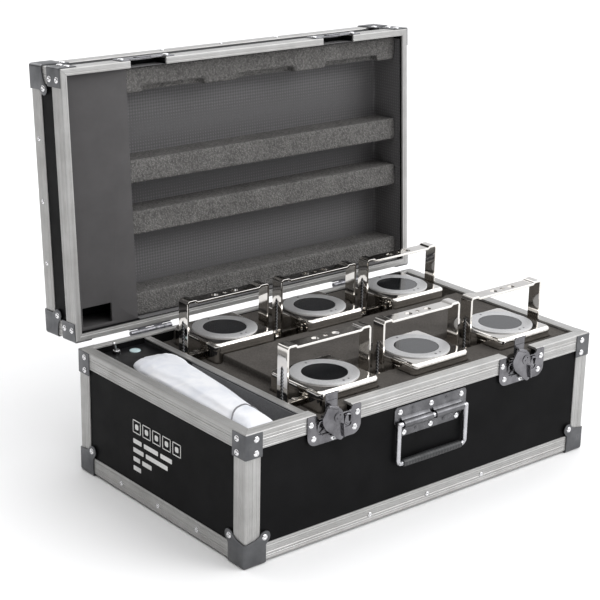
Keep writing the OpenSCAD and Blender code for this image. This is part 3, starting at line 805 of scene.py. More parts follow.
def pillow(bm, half, corner, z0, z1, r, hole):
    """Square plate with a round hole, its upper edge rounded by r and its lower one by 1 mm."""
    part = bmesh.new()
    rows = []
    for k in range(4):
        a = math.pi / 2 * k / 3
        rows.append((1 - math.sin(a), z0 + 1 - math.cos(a)))
    for k in range(10):
        a = math.pi / 2 * k / 9
        rows.append((r - r * math.cos(a), z1 - r + r * math.sin(a)))
    loops = [[part.verts.new((x, y, z)) for x, y in square(half - i, corner - i)]
             for i, z in rows]
    for a, b in zip(loops, loops[1:]):
        for j in range(len(a)):
            part.faces.new((a[j], a[(j + 1) % len(a)], b[(j + 1) % len(a)], b[j]))
    holes = [[part.verts.new((x, y, z)) for x, y in circle(hole, 64)] for z in (z0, z1)]
    for j in range(64):
        part.faces.new((holes[0][j], holes[0][(j + 1) % 64], holes[1][(j + 1) % 64], holes[1][j]))
    for outer, inner in ((loops[0], holes[0]), (loops[-1], holes[1])):
        edges = [part.edges.get((v[k], v[(k + 1) % len(v)]))
                 for v in (outer, inner) for k in range(len(v))]
        bmesh.ops.triangle_fill(part, edges=edges, use_beauty=True)
    bmesh.ops.recalc_face_normals(part, faces=part.faces[:])
    add(bm, part)


def housing_mesh():
    bm = bmesh.new()
    pillow(bm, 48, 8, PLATE_Z - 10, PLATE_Z, 4.6, 31.2)
    prism(bm, square(46.9, 5), BODY_Z, PLATE_Z - 9.9)
    for s in (-1, 1):
        box(bm, s * 54 - 8.2, s * 54 + 8.2, -6, 6, PIVOT_Z - 6, PIVOT_Z + 6, 1.2)
        side = on("right" if s > 0 else "left", s * 62, 0, PIVOT_Z)
        lathe(bm, [(3.2, -0.5), (3.2, 4.2)], side, 20)
        knurl = [((8.0 if k % 2 else 7.4) * math.cos(math.pi * k / 20),
                  (8.0 if k % 2 else 7.4) * math.sin(math.pi * k / 20)) for k in range(40)]
        prism(bm, knurl, 4.1, 9.6, side, r=0.5, seg=1, both=True)
    return bm


def bezel_mesh():
    bm = bmesh.new()
    z, h = PLATE_Z, RING_H
    lathe(bm, [(28.5, z + 0.05), (28.5, z + h - 0.15), (28.7, z + h), (41.9, z + h),
               (42.3, z + h - 0.15), (42.5, z + h - 0.5), (42.5, z + 0.05), (28.5, z + 0.05)], n=96)
    return bm


def screw_mesh():
    bm = bmesh.new()
    for a, size in ((90, 0.9), (270, 0.9), (284, 0.75)):
        x = 35.4 * math.cos(math.radians(a))
        y = 35.4 * math.sin(math.radians(a))
        m = Matrix.Translation((x, y, PLATE_Z + RING_H)) @ Matrix.Scale(size, 4)
        lathe(bm, [(1.9, -0.02), (1.8, 0.2), (1.2, 0.35), (0.95, 0.35), (0.9, 0.05), (0.0, 0.05)],
              m, 20)
    return bm


def window_mesh():
    """Stepped glass disc, nearly flush with the ring round it."""
    bm = bmesh.new()
    z, h = PLATE_Z, RING_H
    lathe(bm, [(0.0, z - 3.2), (30.8, z - 3.2), (31.0, z - 3.0), (31.0, z - 0.1), (28.3, z - 0.1),
               (28.3, z + h - 0.35), (28.0, z + h - 0.15), (0.0, z + h - 0.15)], n=72)
    return bm


def slot_outline(z0, z1, half=3.3, tooth=1.0, pitch=4.2):
    """Upright slot with a pointed head and toothed sides; u is along Y."""
    left, right = [], []
    z = z0 + 2.0
    k = 0
    while z < z1 - 6:
        inset = tooth if k % 2 else 0.0
        right.append((half - inset, z))
        left.append((-half + inset, z))
        z += pitch / 2
        k += 1
    foot = [(-half * 0.8, z0 - 1.2), (0, z0 - half), (half * 0.8, z0 - 1.2)]
    head = [(half * 0.8, z1 - 3.5), (half * 0.35, z1 - 0.6), (0, z1), (-half * 0.35, z1 - 0.6),
            (-half * 0.8, z1 - 3.5)]
    return foot + right + head + left[::-1]


def strap_section(w, t, r=0.45):
    h, k = w / 2, t / 2
    return [(-k + r, -h), (-k, -h + r), (-k, h - r), (-k + r, h), (k - r, h), (k, h - r),
            (k, -h + r), (k - r, -h)]


def bracket_mesh():
    """Strap bent round the lamp: a toothed groove in its left leg, three holes in its bar."""
    x, top, low = LEG_X - STRAP_T / 2, BRACKET_Z - STRAP_T / 2, BRACKET_Z - 3.9
    path = bend_path([(-x, 0, PIVOT_Z - 9.5), (-x, 0, top), (-52.2, 0, top), (-49.8, 0, low),
                      (49.8, 0, low), (52.2, 0, top), (x, 0, top), (x, 0, PIVOT_Z - 9.5)], 3.4, 6)
    bm = bmesh.new()
    sweep(bm, path, strap_section(19, STRAP_T), (0, 1, 0))
    return bm


def rack_mesh():
    """Dark strip on the floor of the groove as painted shade, and the zigzag wire that the clamp runs
    along.
    """
    along = on("right", -LEG_X + GROOVE, 0, 0)
    shade_bm, wire = bmesh.new(), bmesh.new()
    outline = [(u * 0.97, v) for u, v in slot_outline(PIVOT_Z + 3.2, 198.0, tooth=0.0)]
    prism(shade_bm, outline, -0.3, 0.1, along)
    path = [Vector((-LEG_X + GROOVE - 0.55, 1.5 if k % 2 else -1.5, PIVOT_Z + 6 + 2.1 * k))
            for k in range(22)]
    sweep(wire, path, circle(0.4, 6), (1, 0, 0))
    return shade_bm, wire


def bracket_cutters():
    """Cutters of the groove, the pivots, the round ends of the legs and the bar's holes."""
    along = on("right", 0, 0, 0)
    groove, pivots, ends, holes = (bmesh.new() for k in range(4))
    prism(groove, slot_outline(PIVOT_Z - 2, 199.0), -80, -LEG_X + GROOVE, along)
    prism(pivots, circle(3.3, 24, 0, PIVOT_Z), -80, 80, along)
    for s in (-1, 1):
        arc = [(s * 9.5 * math.cos(a), PIVOT_Z - 9.5 * math.sin(a))
               for a in (math.pi / 2 * k / 8 for k in range(9))]
        prism(ends, [(s * 12, PIVOT_Z)] + arc + [(0, PIVOT_Z - 14), (s * 12, PIVOT_Z - 14)],
              -80, 80, along)
    for hx, r in ((-16, 5), (0, 3), (16, 5)):
        prism(holes, circle(r, 32, hx, 0), BRACKET_Z - 12, BRACKET_Z + 6)
    return groove, pivots, ends, holes


def copies(name, bm, material, kind, body, angle=30, cutters=()):
    """The same part on each lamp: built once in the middle, then placed at every lamp."""
    me = to_mesh(bm, name, angle)
    me.materials.append(material)
    for i in UNITS:
        ob = link(f"uplight_{i}_{name}", me)
        if cutters and i == UNITS[0]:
            cut(ob, *cutters, angle=angle)
            me = ob.data
        ob.matrix_world = Matrix.Translation((UNIT[i].x * MM, UNIT[i].y * MM, 0))
        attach(ob, body.format(i))
        if kind:
            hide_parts(f"uplight_{i}_{kind}")


copies("face_and_body", housing_mesh(), MIRROR, "housing", "uplight_{}")
copies("ring", bezel_mesh(), SATIN, "bezel", "uplight_{}")
copies("ring_screws", screw_mesh(), SCREW, None, "uplight_{}")
copies("glass", window_mesh(), GLASS, "window", "uplight_{}")
rack, rack_wire = rack_mesh()
# painted shade: a dark rubber strip stands for the shade inside each groove
copies("groove_painted_shade", rack, RUBBER, None, "bracket_{}")
copies("groove_wire", rack_wire, WIRE, None, "bracket_{}", 50)
copies("strap", bracket_mesh(), MIRROR, "bracket", "bracket_{}",
       cutters=bracket_cutters())


# ---------------------------------------------------------------- latches
def latch_plate(bm, s):
    """Plate of one twist latch: frame, dish, pressed loops and the pivot of its hook."""
    m = on("front", s * LATCH_X, -HY + IN_PROFILE, LATCH_Z)
    outline = rounded([(-40.5, -22.3), (40.5, -22.3), (40.5, 15), (27, 15), (25, 9), (-25, 9),
                       (-27, 15), (-40.5, 15)], [12.5, 12.5, 1.5, 1.5, 4, 4, 1.5, 1.5], 6)
    dish = rounded([(-27, -10.5), (27, -10.5), (24.5, 7.5), (-24.5, 7.5)], [5, 5, 3, 3], 4)
    prism(bm, outline, 0, 0.35, m, holes=[circle(4.3, 24)])
    prism(bm, outline, 0.3, 1.4, m, r=0.45, holes=[dish])
    # raised loops pressed out of the plate beside the wing
    for side in (-1, 1):
        loop = bend_path([(side * 25, -5, 0.8), (side * 25, 5, 2.6), (side * 17, 6.5, 2.6),
                          (side * 15, -4, 1.4), (side * 21, -8.5, 0.6)], 3, 5)
        sweep(bm, loop, circle(1.35, 10), (0, 0, 1), m)
    box(bm, -18, 2, -12.6, -10.8, 1.1, 2.0, 0.35, m=m)
    # lugs of the hook's pivot, inside the notch
    for x in (-13, 10.6):
        box(bm, s * LATCH_X + x, s * LATCH_X + x + 2.4, -HY + 2.4, -HY + 10.6, 153.3, 159, 0.5)
    lathe(bm, [(1.2, -12), (1.2, 12)], on("right", s * LATCH_X, -HY + 8, 156.2), 16)


bm = bmesh.new()
for s in (-1, 1):
    latch_plate(bm, s)
piece(bm, "latch_dishes", LATCH, "case_base", ["latch_plates"])


LEAF = [(-14.5, 26), (-1, 21.5), (5.7, 16.5), (8.6, 7), (9.4, -5), (11.4, -17), (5, -21.8),
        (-0.5, -18.6), (-10.5, -9.5), (-18.6, -3.2), (-22.9, 5), (-22.9, 12.7), (-18.6, 20)]


def wing(s):
    """Butterfly wing of a twist latch on its hub."""
    bm = bmesh.new()
    m = on("front", s * LATCH_X, -HY, LATCH_Z)
    lathe(bm, [(0, -2.2), (4, -2.2), (4, 3.5), (0, 3.5)], m, 32)
    lathe(bm, [(11, 1.35), (11, 2.4), (10.3, 3.4), (4, 3.4)], m, 40)
    prism(bm, rounded(LEAF, 4.5, 4), 3.3, 5.4, m, r=0.7, seg=3)
    # lip curled over at the top, ridge folded up along the leaf, hub with its two pin ends
    curl = [Vector((-15.2, 24.6, 4.9)), Vector((-0.8, 20.0, 4.9))]
    sweep(bm, curl, circle(1.9, 16), (0, 0, 1), m)
    box(bm, 5.4, 7.4, -18.5, -1, 5.0, 8.6, 0.8, m=m @ Matrix.Rotation(math.radians(6), 4, "Z"))
    lathe(bm, [(6.4, 5.3), (6.2, 6.2), (5.4, 6.6), (0, 6.6)],
          m @ Matrix.Translation((0, 8.6, 0)), 28)
    for x, y in ((2.2, 11.2), (-2.2, 7.6)):
        lathe(bm, [(1.3, 6.5), (1.2, 7.2), (0.7, 7.5), (0, 7.5)],
              m @ Matrix.Translation((x, y, 0)), 14)
    return bm


def hook(s):
    """Bent strip that stands up behind the rim and takes the lid's catch."""
    bm = bmesh.new()
    y = -HY + 8
    x0 = s * LATCH_X
    path = bend_path([(x0, y, 157), (x0, y, 184.9), (x0, y - 2.5, 184.9)], 1.6, 5)
    sweep(bm, path, strap_section(18, 1.6, 0.35), (1, 0, 0))
    lathe(bm, [(1.35, -10), (2.7, -10), (2.7, 10), (1.35, 10), (1.35, -10)],
          on("right", x0, y, 156.2), 24)
    box(bm, x0 - 7.5, x0 + 7.5, y - 1.3, y - 0.7, 163, 176, 0.25)
    return bm


def catch_mesh():
    bm = bmesh.new()
    for s in (-1, 1):
        m = on("front", s * LATCH_X, -HY + IN_PROFILE, BASE_H)
        outline = rounded([(-40.5, 1.0), (-27, 1.0), (-25, 6), (25, 6), (27, 1.0), (40.5, 1.0),
                           (40.5, 24.5), (-40.5, 24.5)], [1, 1.5, 3, 3, 1.5, 1, 6, 6], 5)
        prism(bm, outline, 0, 1.2, m, r=0.4)
        box(bm, s * LATCH_X - 12, s * LATCH_X + 12, -HY + 2.4, -HY + 4.6, 178, 181.6, 0.5)
        box(bm, -12, 12, 11, 17, 1.1, 2.2, 0.5, m=m)
    return bm


for s, side in ((-1, "left"), (1, "right")):
    piece(wing(s), f"latch_wing_leaf_{side}", LATCH, f"latch_wing_{side}",
          [f"latch_wing_{side}"])
    piece(hook(s), f"latch_hook_strip_{side}", LATCH, f"latch_hook_{side}",
          [f"latch_hook_{side}"])
piece(catch_mesh(), "lid_catch_plates", LATCH, "lid", ["lid_catches"], m=LID)


# ---------------------------------------------------------------- handle
def handle_plate():
    bm = bmesh.new()
    m = on("front", 0, -HY + IN_PANEL, HANDLE_Z)
    outline = rounded([(-47, -18), (47, -18), (60, 1), (60, 21), (-60, 21), (-60, 1)],
                      [3, 3, 3, 5, 5, 3], 4)
    prism(bm, outline, 0, 1.2, m, r=0.35)
    # sleeve pressed out of the plate round the bail, in two halves with a gap between them
    r0, r1 = WIRE_R + 0.25, WIRE_R + 1.75
    depth = -HY + IN_PANEL - HANDLE_Y
    arc = [math.radians(a) for a in range(-20, 201, 20)]
    outer = [(r1 * math.cos(a), depth + r1 * math.sin(a)) for a in arc]
    inner = [(r0 * math.cos(a), depth + r0 * math.sin(a)) for a in reversed(arc)]
    skirt_hi = [(-r1 - 3.0, 1.1), (-r1 - 3.2, 0.2), (-r0 - 0.4, 0.2)]
    skirt_lo = [(r0 + 0.4, 0.2), (r1 + 3.2, 0.2), (r1 + 3.0, 1.1)]
    outline = outer + skirt_hi + inner + skirt_lo
    for x0, x1 in ((-50, -3), (3, 50)):
        length = x1 - x0
        turn = Matrix(((0, 0, 1, x0), (1, 0, 0, 0), (0, 1, 0, 0), (0, 0, 0, 1)))
        prism(bm, outline, 0, length, m @ turn)
    # marks of the press
    for x, y in ((-30, 16), (26, 16), (-24, -12), (22, -12)):
        lathe(bm, [(2.2, 1.1), (2.0, 1.7), (1.2, 1.8), (0.8, 1.3), (0, 1.25)],
              m @ Matrix.Translation((x, y, 0)), 16)
    return bm


piece(handle_plate(), "handle_mount", HANDLE_STEEL, "case_base", ["handle_plate"])

bm = bmesh.new()
bail = [(-BAIL_X, HANDLE_Y, HANDLE_Z), (-BAIL_X, HANDLE_Y, GRIP_Z),
        (BAIL_X, HANDLE_Y, GRIP_Z), (BAIL_X, HANDLE_Y, HANDLE_Z)]
for path in (bend_path(bail, 5.5, 6), [Vector(bail[0]), Vector(bail[3])]):
    sweep(bm, path, circle(WIRE_R, 18), (0, 1, 0))
for end in (bail[0], bail[3]):
    ball = bmesh.new()
    bmesh.ops.create_uvsphere(ball, u_segments=20, v_segments=12, radius=WIRE_R + 0.02)
    add(bm, ball, Matrix.Translation(end))
piece(bm, "handle_wire", WIRE, "carry_handle", ["handle_bail"])

grip = []
for k in range(21):
    x = -49 + 98 * k / 20
    swell = 4.75 + 0.55 * math.cos(math.pi * x / 110)
    grip += [(swell - 0.28, x - 1.9), (swell, x - 1.2), (swell, x + 1.2), (swell - 0.28, x + 1.9)]
grip = [(r, h) for r, h in grip if -48.4 < h < 48.4]
profile = [(WIRE_R + 0.05, -49), (4.2, -49), (4.7, -48.5)] + grip + [
    (4.7, 48.5), (4.2, 49), (WIRE_R + 0.05, 49)]
bm = bmesh.new()
lathe(bm, profile + [profile[0]], on("right", 0, HANDLE_Y, GRIP_Z), 36)
piece(bm, "handle_sleeve", RUBBER, "carry_handle", ["handle_grip"], angle=50)

# ---------------------------------------------------------------- foam
def porous(name, node, material, body, voxel, relax, rough, freq, cells=0.0):
    """Foam made from a CAD block: edges rounded by a remesh, faces left slightly uneven."""
    ob = link(name, NODE[node].data.copy())
    mod = ob.modifiers.new("remesh", "REMESH")
    mod.mode = "VOXEL"
    mod.voxel_size = voxel
    mod = ob.modifiers.new("smooth", "SMOOTH")
    mod.factor = 0.5
    mod.iterations = relax
    settle(ob)
    me = ob.data
    me.materials.clear()
    me.materials.append(material)
    for v, n in zip(me.vertices, [v.normal.copy() for v in me.vertices]):
        p = v.co * freq
        d = noise.noise(p) * 0.6 + noise.noise(p * 2.7) * 0.4
        if cells:
            d -= cells * max(0.0, 0.42 - noise.voronoi(p * 1.3)[0][0])
        v.co += n * (d * rough)
    me.shade_smooth()
    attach(ob, body)
    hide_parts(node)


porous("foam_insert", "foam_tray", BROWN_FOAM, "case_base",
       0.0018, 0, 0.00030, 160)
porous("lid_foam_strips", "lid_foam_bars", GREY_FOAM, "lid",
       0.0020, 2, 0.0007, 300, cells=1.2)


# ---------------------------------------------------------------- lid's inside
def lining():
    """One sheet laid over the roof and turned down the front, right and rear walls."""
    x0, x1 = -183.0, HX - IN_WALL - 0.9
    y0, y1 = -HY + IN_WALL + 0.9, HY - IN_WALL - 0.9
    top, low, r = 228.9, 172.5, 5.0
    wall = top - low
    bm = bmesh.new()

    def turned(d, span):
        """Place along a wall-roof-wall strip: (position, height)."""
        arc = r * math.pi / 2
        for flip in (False, True):
            q = (2 * (wall - r + arc) + span - 2 * r - d) if flip else d
            if q <= wall - r:
                pos, h = 0.0, low + q
            elif q <= wall - r + arc:
                a = (q - wall + r) / r
                pos, h = r - r * math.cos(a), top - r + r * math.sin(a)
            else:
                continue
            return (span - pos if flip else pos), h
        return d - (wall - r + arc) + r, top

    span = y1 - y0
    total = 2 * (wall - r + r * math.pi / 2) + span - 2 * r
    rows, cols = 110, 120
    reach = (x1 - x0) - r + r * math.pi / 2 + wall - r
    long = []
    for i in range(rows + 1):
        pos, h = turned(total * i / rows, span)
        long.append([(x0 + (x1 - x0 - r) * k / cols, y0 + pos, h) for k in range(cols + 1)])
    right = []
    for i in range(rows + 1):
        y = y0 + r + (span - 2 * r) * i / rows
        line = []
        for k in range(25):
            d = (r * math.pi / 2 + wall - r) * k / 24
            if d <= r * math.pi / 2:
                a = d / r
                line.append((x1 - r + r * math.sin(a), y, top - r + r * math.cos(a)))
            else:
                line.append((x1, y, top - r - (d - r * math.pi / 2)))
        right.append(line)
    for grid in (long, right):
        vs = [[bm.verts.new((x, y, z + 0.12 * noise.noise(Vector((x, y, z)) * 0.03)))
               for x, y, z in line] for line in grid]
        for a, b in zip(vs, vs[1:]):
            for k in range(len(a) - 1):
                bm.faces.new((a[k], a[k + 1], b[k + 1], b[k]))
    bmesh.ops.recalc_face_normals(bm, faces=bm.faces[:])
    area = sum(f.calc_area() for f in bm.faces) * MM * MM
    return bm, area, (reach * MM, total * MM)


bm, area, flat = lining()
cloth = piece(bm, "lid_lining_cloth", LINING, "lid", ["lid_lining"], m=LID,
              angle=60)
thicken(cloth, 0.7, 60)


def pocket_cover():
    """Cover panel of the lid's left end: a folded tray with rounded edges and a cut-out."""
    lo_y, hi_y = -HY + IN_WALL + 0.3, HY - IN_WALL - 0.3
    bm = bmesh.new()
    hole = rounded([(-HX + 21, HY - 41), (-HX + 65, HY - 41), (-HX + 65, HY - 15.5),
                    (-HX + 21, HY - 15.5)], 1.5, 4)
    face = [(-HX + IN_WALL + 0.3, lo_y), (DIV_R, lo_y), (DIV_R, hi_y), (-HX + IN_WALL + 0.3, hi_y)]
    prism(bm, rounded(face, 0.8, 3), 178.0, 181.8, r=0.6, holes=[hole], both=True)
    box(bm, DIV_R - 3, DIV_R, lo_y, hi_y, 179, 228.6, 0.8)
    for y in (lo_y, hi_y - 3):
        box(bm, -HX + 11.6, DIV_R - 2, y, y + 3, 181, 228.6, 0.5)
    return bm


piece(pocket_cover(), "lid_pocket_panel", GREY_PANEL, "lid", ["lid_pocket_cover"],
      m=LID)
bm = bmesh.new()
box(bm, -HX + 13, DIV_R - 4, HY - 52, HY - 16, 225.5, 228.4, 0.5)
piece(bm, "lid_pocket_floor", BLACK_PANEL, "lid", m=LID)


# ---------------------------------------------------------------- left compartment
def liner_board(bm, x0, x1, y0, y1, z0, z1, low):
    """Thin tray with an open top; its rear wall is low."""
    box(bm, x0, x1, y0, y1, z0, z0 + 0.9, 0.2)
    for a, b in ((x0, x0 + 0.9), (x1 - 0.9, x1)):
        box(bm, a, b, y0, y1, z0 + 0.5, z1, 0.2)
    box(bm, x0 + 0.5, x1 - 0.5, y0, y0 + 0.9, z0 + 0.5, z1, 0.2)
    box(bm, x0 + 0.5, x1 - 0.5, y1 - 0.9, y1, z0 + 0.5, low, 0.2)


def felt_tray(bm, x0, x1, y0, y1, z0, z1, low):
    """One cross-shaped cut of felt folded up the walls of the tray; gives its flat size."""
    floor = [(x0, y0, z0), (x1, y0, z0), (x1, y1, z0), (x0, y1, z0)]
    base = [bm.verts.new(p) for p in floor]
    bm.faces.new(base)
    for k, top in enumerate((z1, z1, low, z1)):
        a, b = base[k], base[(k + 1) % 4]
        rim = [bm.verts.new((v.co.x, v.co.y, top)) for v in (b, a)]
        bm.faces.new((a, b, *rim))
    bmesh.ops.recalc_face_normals(bm, faces=bm.faces[:])
    bmesh.ops.subdivide_edges(bm, edges=bm.edges[:], cuts=40, use_grid_fill=True)
    for v in bm.verts:
        v.co += v.normal * 0.3 * noise.noise(v.co * 0.06)
    area = sum(f.calc_area() for f in bm.faces)
    return area * MM * MM, ((x1 - x0 + 2 * (z1 - z0)) * MM, (y1 - y0 + z1 + low - 2 * z0) * MM)


tray = (-HX + 11.5, DIV_L - 0.3, -HY + 11.5, -HY + 231.7)
bm = bmesh.new()
liner_board(bm, *tray, 92, 160.2, 153.8)
piece(bm, "liner_board", DIVIDER, "case_base", ["compartment_liner"])
bm = bmesh.new()
area, flat = felt_tray(bm, tray[0] + 1.7, tray[1] - 1.7, tray[2] + 1.7, tray[3] - 1.7,
                       93.8, 160.0, 153.6)
felt = piece(bm, "felt_lining", FELT, "case_base", angle=60)
thicken(felt, 1.2, 60)

SWITCH = Matrix.Translation((-HX + 46, HY - 22, CHARGER_Z))
bm = bmesh.new()
lathe(bm, [(3.6, 0.0), (5.6, 0.0), (5.6, 1.6), (5.0, 2.6), (4.2, 3.3), (3.6, 3.3), (3.6, 0.0)],
      SWITCH, 6)
lathe(bm, [(3.5, 0.2), (4.6, 0.2), (4.6, 4.2), (4.2, 4.6), (3.5, 4.6), (3.5, 0.2)],
      SWITCH, 24)
piece(bm, "switch_nut", RIVET, "case_base")

bm = bmesh.new()
lever = [(0, -3.0), (2.2, -2.4), (2.9, -1.0), (2.6, 0.4), (1.55, 2), (2.0, 10), (2.45, 13.5),
         (2.3, 15.3), (1.4, 16.4), (0, 16.7)]
lathe(bm, lever, SWITCH @ Matrix.Rotation(math.radians(-15), 4, "Y"), 24)
piece(bm, "switch_toggle", RIVET, "switch_lever", ["power_switch"], angle=60)

LAMP = Matrix.Translation((-HX + 70, HY - 28, CHARGER_Z))
bm = bmesh.new()
lathe(bm, [(0, -5.8), (5.9, -5.8), (5.9, 0.0), (7.2, 0.0), (7.2, 0.7), (6.8, 1.2), (5.6, 1.6),
           (3.0, 2.1), (0, 2.3)], LAMP, 40)
piece(bm, "charge_lamp", LENS, "case_base", ["charge_indicator"], angle=50)


def along_row(table, y):
    """Value at y between the (y, value) points of a table."""
    for (a, p), (b, q) in zip(table, table[1:]):
        if y <= b:
            return p + (q - p) * max(0.0, (y - a) / (b - a))
    return table[-1][1]


# right edge and crest of the bundle at distances from the front
RIGHT_EDGE = [(18, 58), (26, 64), (60, 71), (100, 77), (130, 82), (170, 86), (215, 90), (300, 91)]
CREST = [(18, 162), (40, 164), (90, 165.5), (150, 167), (220, 168), (255, 167.5), (284, 163)]
NECK_Y = 227                     # behind this the bundle lies on the charger panel
GIVE = 0.0022                    # how far, in metres, the filling may push the cloth


def bundle():
    """Folded white cloth bundle, filling the left end of the case and gathered at its rear."""
    bm = bmesh.new()
    rows = []
    for y in [20 + 3.9 * k for k in range(68)]:
        tail = max(0.0, (y - 232) / 50)
        nip = math.sqrt(max(0.0, 1 - min(tail, 1.0) ** 2.2))
        left, right = 20.5, along_row(RIGHT_EDGE, y)
        left, right = 57 - (57 - left) * nip, 70 + (right - 70) * nip
        top = along_row(CREST, y) - 4 * tail ** 3
        base = 97 if y < NECK_Y else 157.5
        mid, half = (left + right) / 2, max((right - left) / 2, 3)
        row = []
        for a in (2 * math.pi * (j + 0.5) / 32 for j in range(32)):
            c, s = math.cos(a), math.sin(a)
            shoulder = top - (5 if y > NECK_Y else 3 if c < 0 else 12)
            rise = (top - shoulder) * abs(s) ** 0.7 if s > 0 else -(shoulder - base) * abs(s) ** 0.35
            wide = abs(c) ** (0.42 if c > 0 else 0.3)
            row.append(bm.verts.new((mid + half * math.copysign(wide, c) - HX, y - HY,
                                     shoulder + rise)))
        rows.append(row)
    for a, b in zip(rows, rows[1:]):
        for j in range(32):
            bm.faces.new((a[j], a[(j + 1) % 32], b[(j + 1) % 32], b[j]))
    bm.faces.new(rows[0][::-1])
    bm.faces.new(rows[-1])
    bmesh.ops.recalc_face_normals(bm, faces=bm.faces[:])
    return bm


pouch = piece(bundle(), "cloth_bundle", WHITE, "pouch", ["accessory_pouch"],
              angle=180)
mod = pouch.modifiers.new("remesh", "REMESH")
mod.mode = "VOXEL"
mod.voxel_size = 0.0034
settle(pouch)
# the filling presses the cloth outwards
start = [v.co.copy() for v in pouch.data.vertices]
mod = pouch.modifiers.new("cloth", "CLOTH")
mod.settings.quality = 6
mod.settings.mass = 0.2
mod.settings.use_pressure = True
mod.settings.uniform_pressure_force = 3.2
mod.settings.effector_weights.gravity = 0
mod.settings.tension_stiffness = 25
mod.settings.bending_stiffness = 0.35
mod.collision_settings.use_collision = False
scene = bpy.context.scene
for f in range(1, 19):
    scene.frame_set(f)
settle(pouch)
scene.frame_set(1)
for v, p in zip(pouch.data.vertices, start):
    d = v.co - p
    if d.length > GIVE:
        v.co = p + d * (GIVE / d.length)
pouch.data.materials.clear()
pouch.data.materials.append(WHITE)
# soft creases along the bundle, deeper where it is gathered
for v, n in zip(pouch.data.vertices, [v.normal.copy() for v in pouch.data.vertices]):
    if v.co.z > 0.14:
        x, y, z = v.co / MM
        rear = min(max((y + HY - 228) / 34, 0), 1)
        d = 0.9 * noise.noise(Vector((x * 0.028, y * 0.010, 1.0)))
        d += 0.35 * (0.3 - abs(noise.noise(Vector((x * 0.055, y * 0.018 + x * 0.02, 9.0)))))
        d += rear * 3.4 * (0.25 - abs(noise.noise(Vector((x * 0.075, y * 0.12, 4.0)))))
        v.co += n * (d * MM)
mod = pouch.modifiers.new("smooth", "SUBSURF")
mod.levels = mod.render_levels = 1
settle(pouch)
pouch.data.shade_smooth()

# hem of the flap that crosses the bundle near its front
surface = BVHTree.FromObject(pouch, bpy.context.evaluated_depsgraph_get())
hem = []
arc = bend_path([(20.5, 53, 0), (30, 62, 0), (41, 70, 0), (52, 73.5, 0), (61, 72, 0),
                 (70, 65.5, 0)], 14, 5)
for a, b in zip(arc, arc[1:]):
    steps = max(1, round((b - a).length / 1.5))
    for p in (a.lerp(b, k / steps) for k in range(steps)):
        ray = Vector(((p.x - HX) * MM, (p.y - HY) * MM, 0.25))
        hit = surface.ray_cast(ray, Vector((0, 0, -1)))[0]
        if hit:
            hem.append(Vector((p.x - HX, p.y - HY, hit.z / MM + 0.7)))
bm = bmesh.new()
sweep(bm, hem, [(-1.1, -0.6), (-0.8, 0.3), (0.8, 0.3), (1.1, -0.6)], (0, 0, 1))
piece(bm, "bundle_hem", HEM, "pouch", angle=60)

# ---------------------------------------------------------------- generic shipping mark
def bar(bm, u0, u1, v0, v1, r=0.0):
    """One printed shape on the left side of the case."""
    outline = [(u0, v0), (u1, v0), (u1, v1), (u0, v1)]
    prism(bm, rounded(outline, r, 3) if r else outline, -0.05, 0.12,
          on("left", -HX + IN_PANEL, 0, 0))


bm = bmesh.new()
for k in range(5):
    u = -46 + k * 21
    side = 8.5
    for sides in ((u - side, u + side, 92, 93.2), (u - side, u + side, 107.8, 109),
                  (u - side, u - side + 1.2, 92, 109), (u + side - 1.2, u + side, 92, 109)):
        bar(bm, *sides)
    bar(bm, u - 3.5, u + 3.5, 97, 104, 2.0)
for row, lengths in enumerate(((18, 30, 24), (22, 46), (14, 20), (16,))):
    u = -54
    for length in lengths:
        bar(bm, u, u + length, 78 - row * 12, 84 - row * 12, 1.0)
        u += length + 5
piece(bm, "shipping_mark", MARK_WHITE, "case_base")

# ---------------------------------------------------------------- kept CAD nodes
dress(LAMINATE, "base_shell", "lid_shell")
dress(HINGE_STEEL, "hinge_base", "hinge_lid")
dress(DIVIDER, "divider")
dress(BLACK_PANEL, "charger_panel")
dress(SUPPLY, "power_supply")
for i in UNITS:
    dress(BOARD, f"uplight_{i}_core")
for n in ("hinge_base", "hinge_lid"):
    soften(n, 0.35)
for n, w in (("divider", 0.5), ("charger_panel", 0.5), ("power_supply", 1.5)):
    soften(n, w)

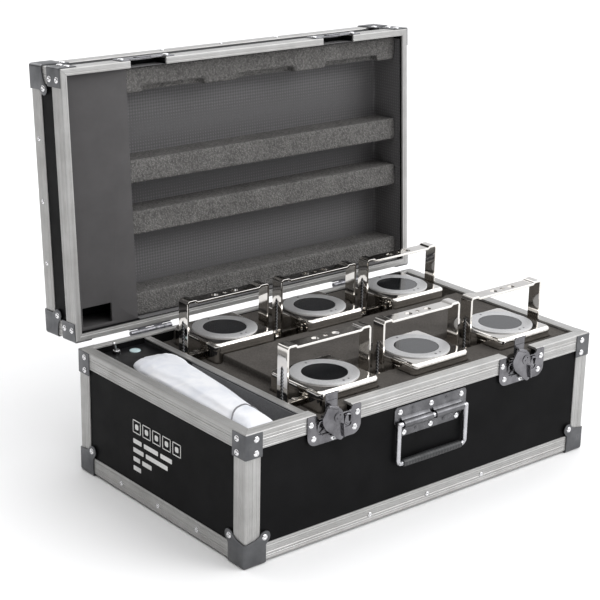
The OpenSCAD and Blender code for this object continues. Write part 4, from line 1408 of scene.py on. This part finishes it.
# ---------------------------------------------------------------- stage, light, camera
bm = bmesh.new()
size = 9000.0
vs = [bm.verts.new(p) for p in ((-size, -size, 0), (size, -size, 0), (size, size, 0),
                                (-size, size, 0))]
bm.faces.new(vs)
floor = link("floor", to_mesh(bm, "floor"))
floor.data.materials.append(Paint("floor_paint", (0.92, 0.92, 0.92), 0.8).material)


def softbox(name, at, aim, size, power):
    data = bpy.data.lights.new(name, "AREA")
    data.shape = "RECTANGLE"
    data.size, data.size_y = size
    data.energy = power
    data.spread = math.radians(160)
    ob = link(name, data)
    ob.location = at
    ob.rotation_euler = (Vector(aim) - Vector(at)).to_track_quat("-Z", "Y").to_euler()


softbox("key", (1.9, -2.4, 2.2), (0, 0, 0.2), (2.0, 1.6), 26)
softbox("back_rim", (-0.4, 3.0, 1.9), (0, 0, 0.3), (3.0, 1.6), 18)

overhead = bpy.data.lights.new("overhead", "SUN")
overhead.energy = 2.3
overhead.angle = math.radians(110)
lamp = link("overhead", overhead)
lamp.rotation_euler = Vector((0.32, -0.25, 1.0)).to_track_quat("Z", "Y").to_euler()

# room that is darker and warmer on the left
world = bpy.data.worlds.new("studio")
bpy.context.scene.world = world
world.use_nodes = True
tree = world.node_tree
around = tree.nodes.new("ShaderNodeTexCoord")
parts = tree.nodes.new("ShaderNodeSeparateXYZ")
tree.links.new(around.outputs["Generated"], parts.inputs[0])
room = tree.nodes.new("ShaderNodeValToRGB")
room.color_ramp.elements[0].position = 0.0
room.color_ramp.elements[0].color = (0.10, 0.093, 0.085, 1)
room.color_ramp.elements[1].position = 1.0
room.color_ramp.elements[1].color = (0.92, 0.93, 0.96, 1)
side = tree.nodes.new("ShaderNodeMapRange")
side.inputs["From Min"].default_value = -1.0
tree.links.new(parts.outputs[0], side.inputs[0])
tree.links.new(side.outputs[0], room.inputs[0])
tree.links.new(room.outputs[0], tree.nodes["Background"].inputs["Color"])

camera = bpy.data.cameras.new("camera")
camera.sensor_width = 36
camera.lens = 95.8
camera.clip_end = 50
view = link("camera", camera)
view.location = (-1.2748, -1.4537, 0.8707)
view.rotation_mode = "YXZ"
view.rotation_euler = [math.radians(a) for a in (71.33, -3.44, -36.07)]
bpy.context.scene.camera = view
bpy.context.scene.view_settings.view_transform = "Standard"
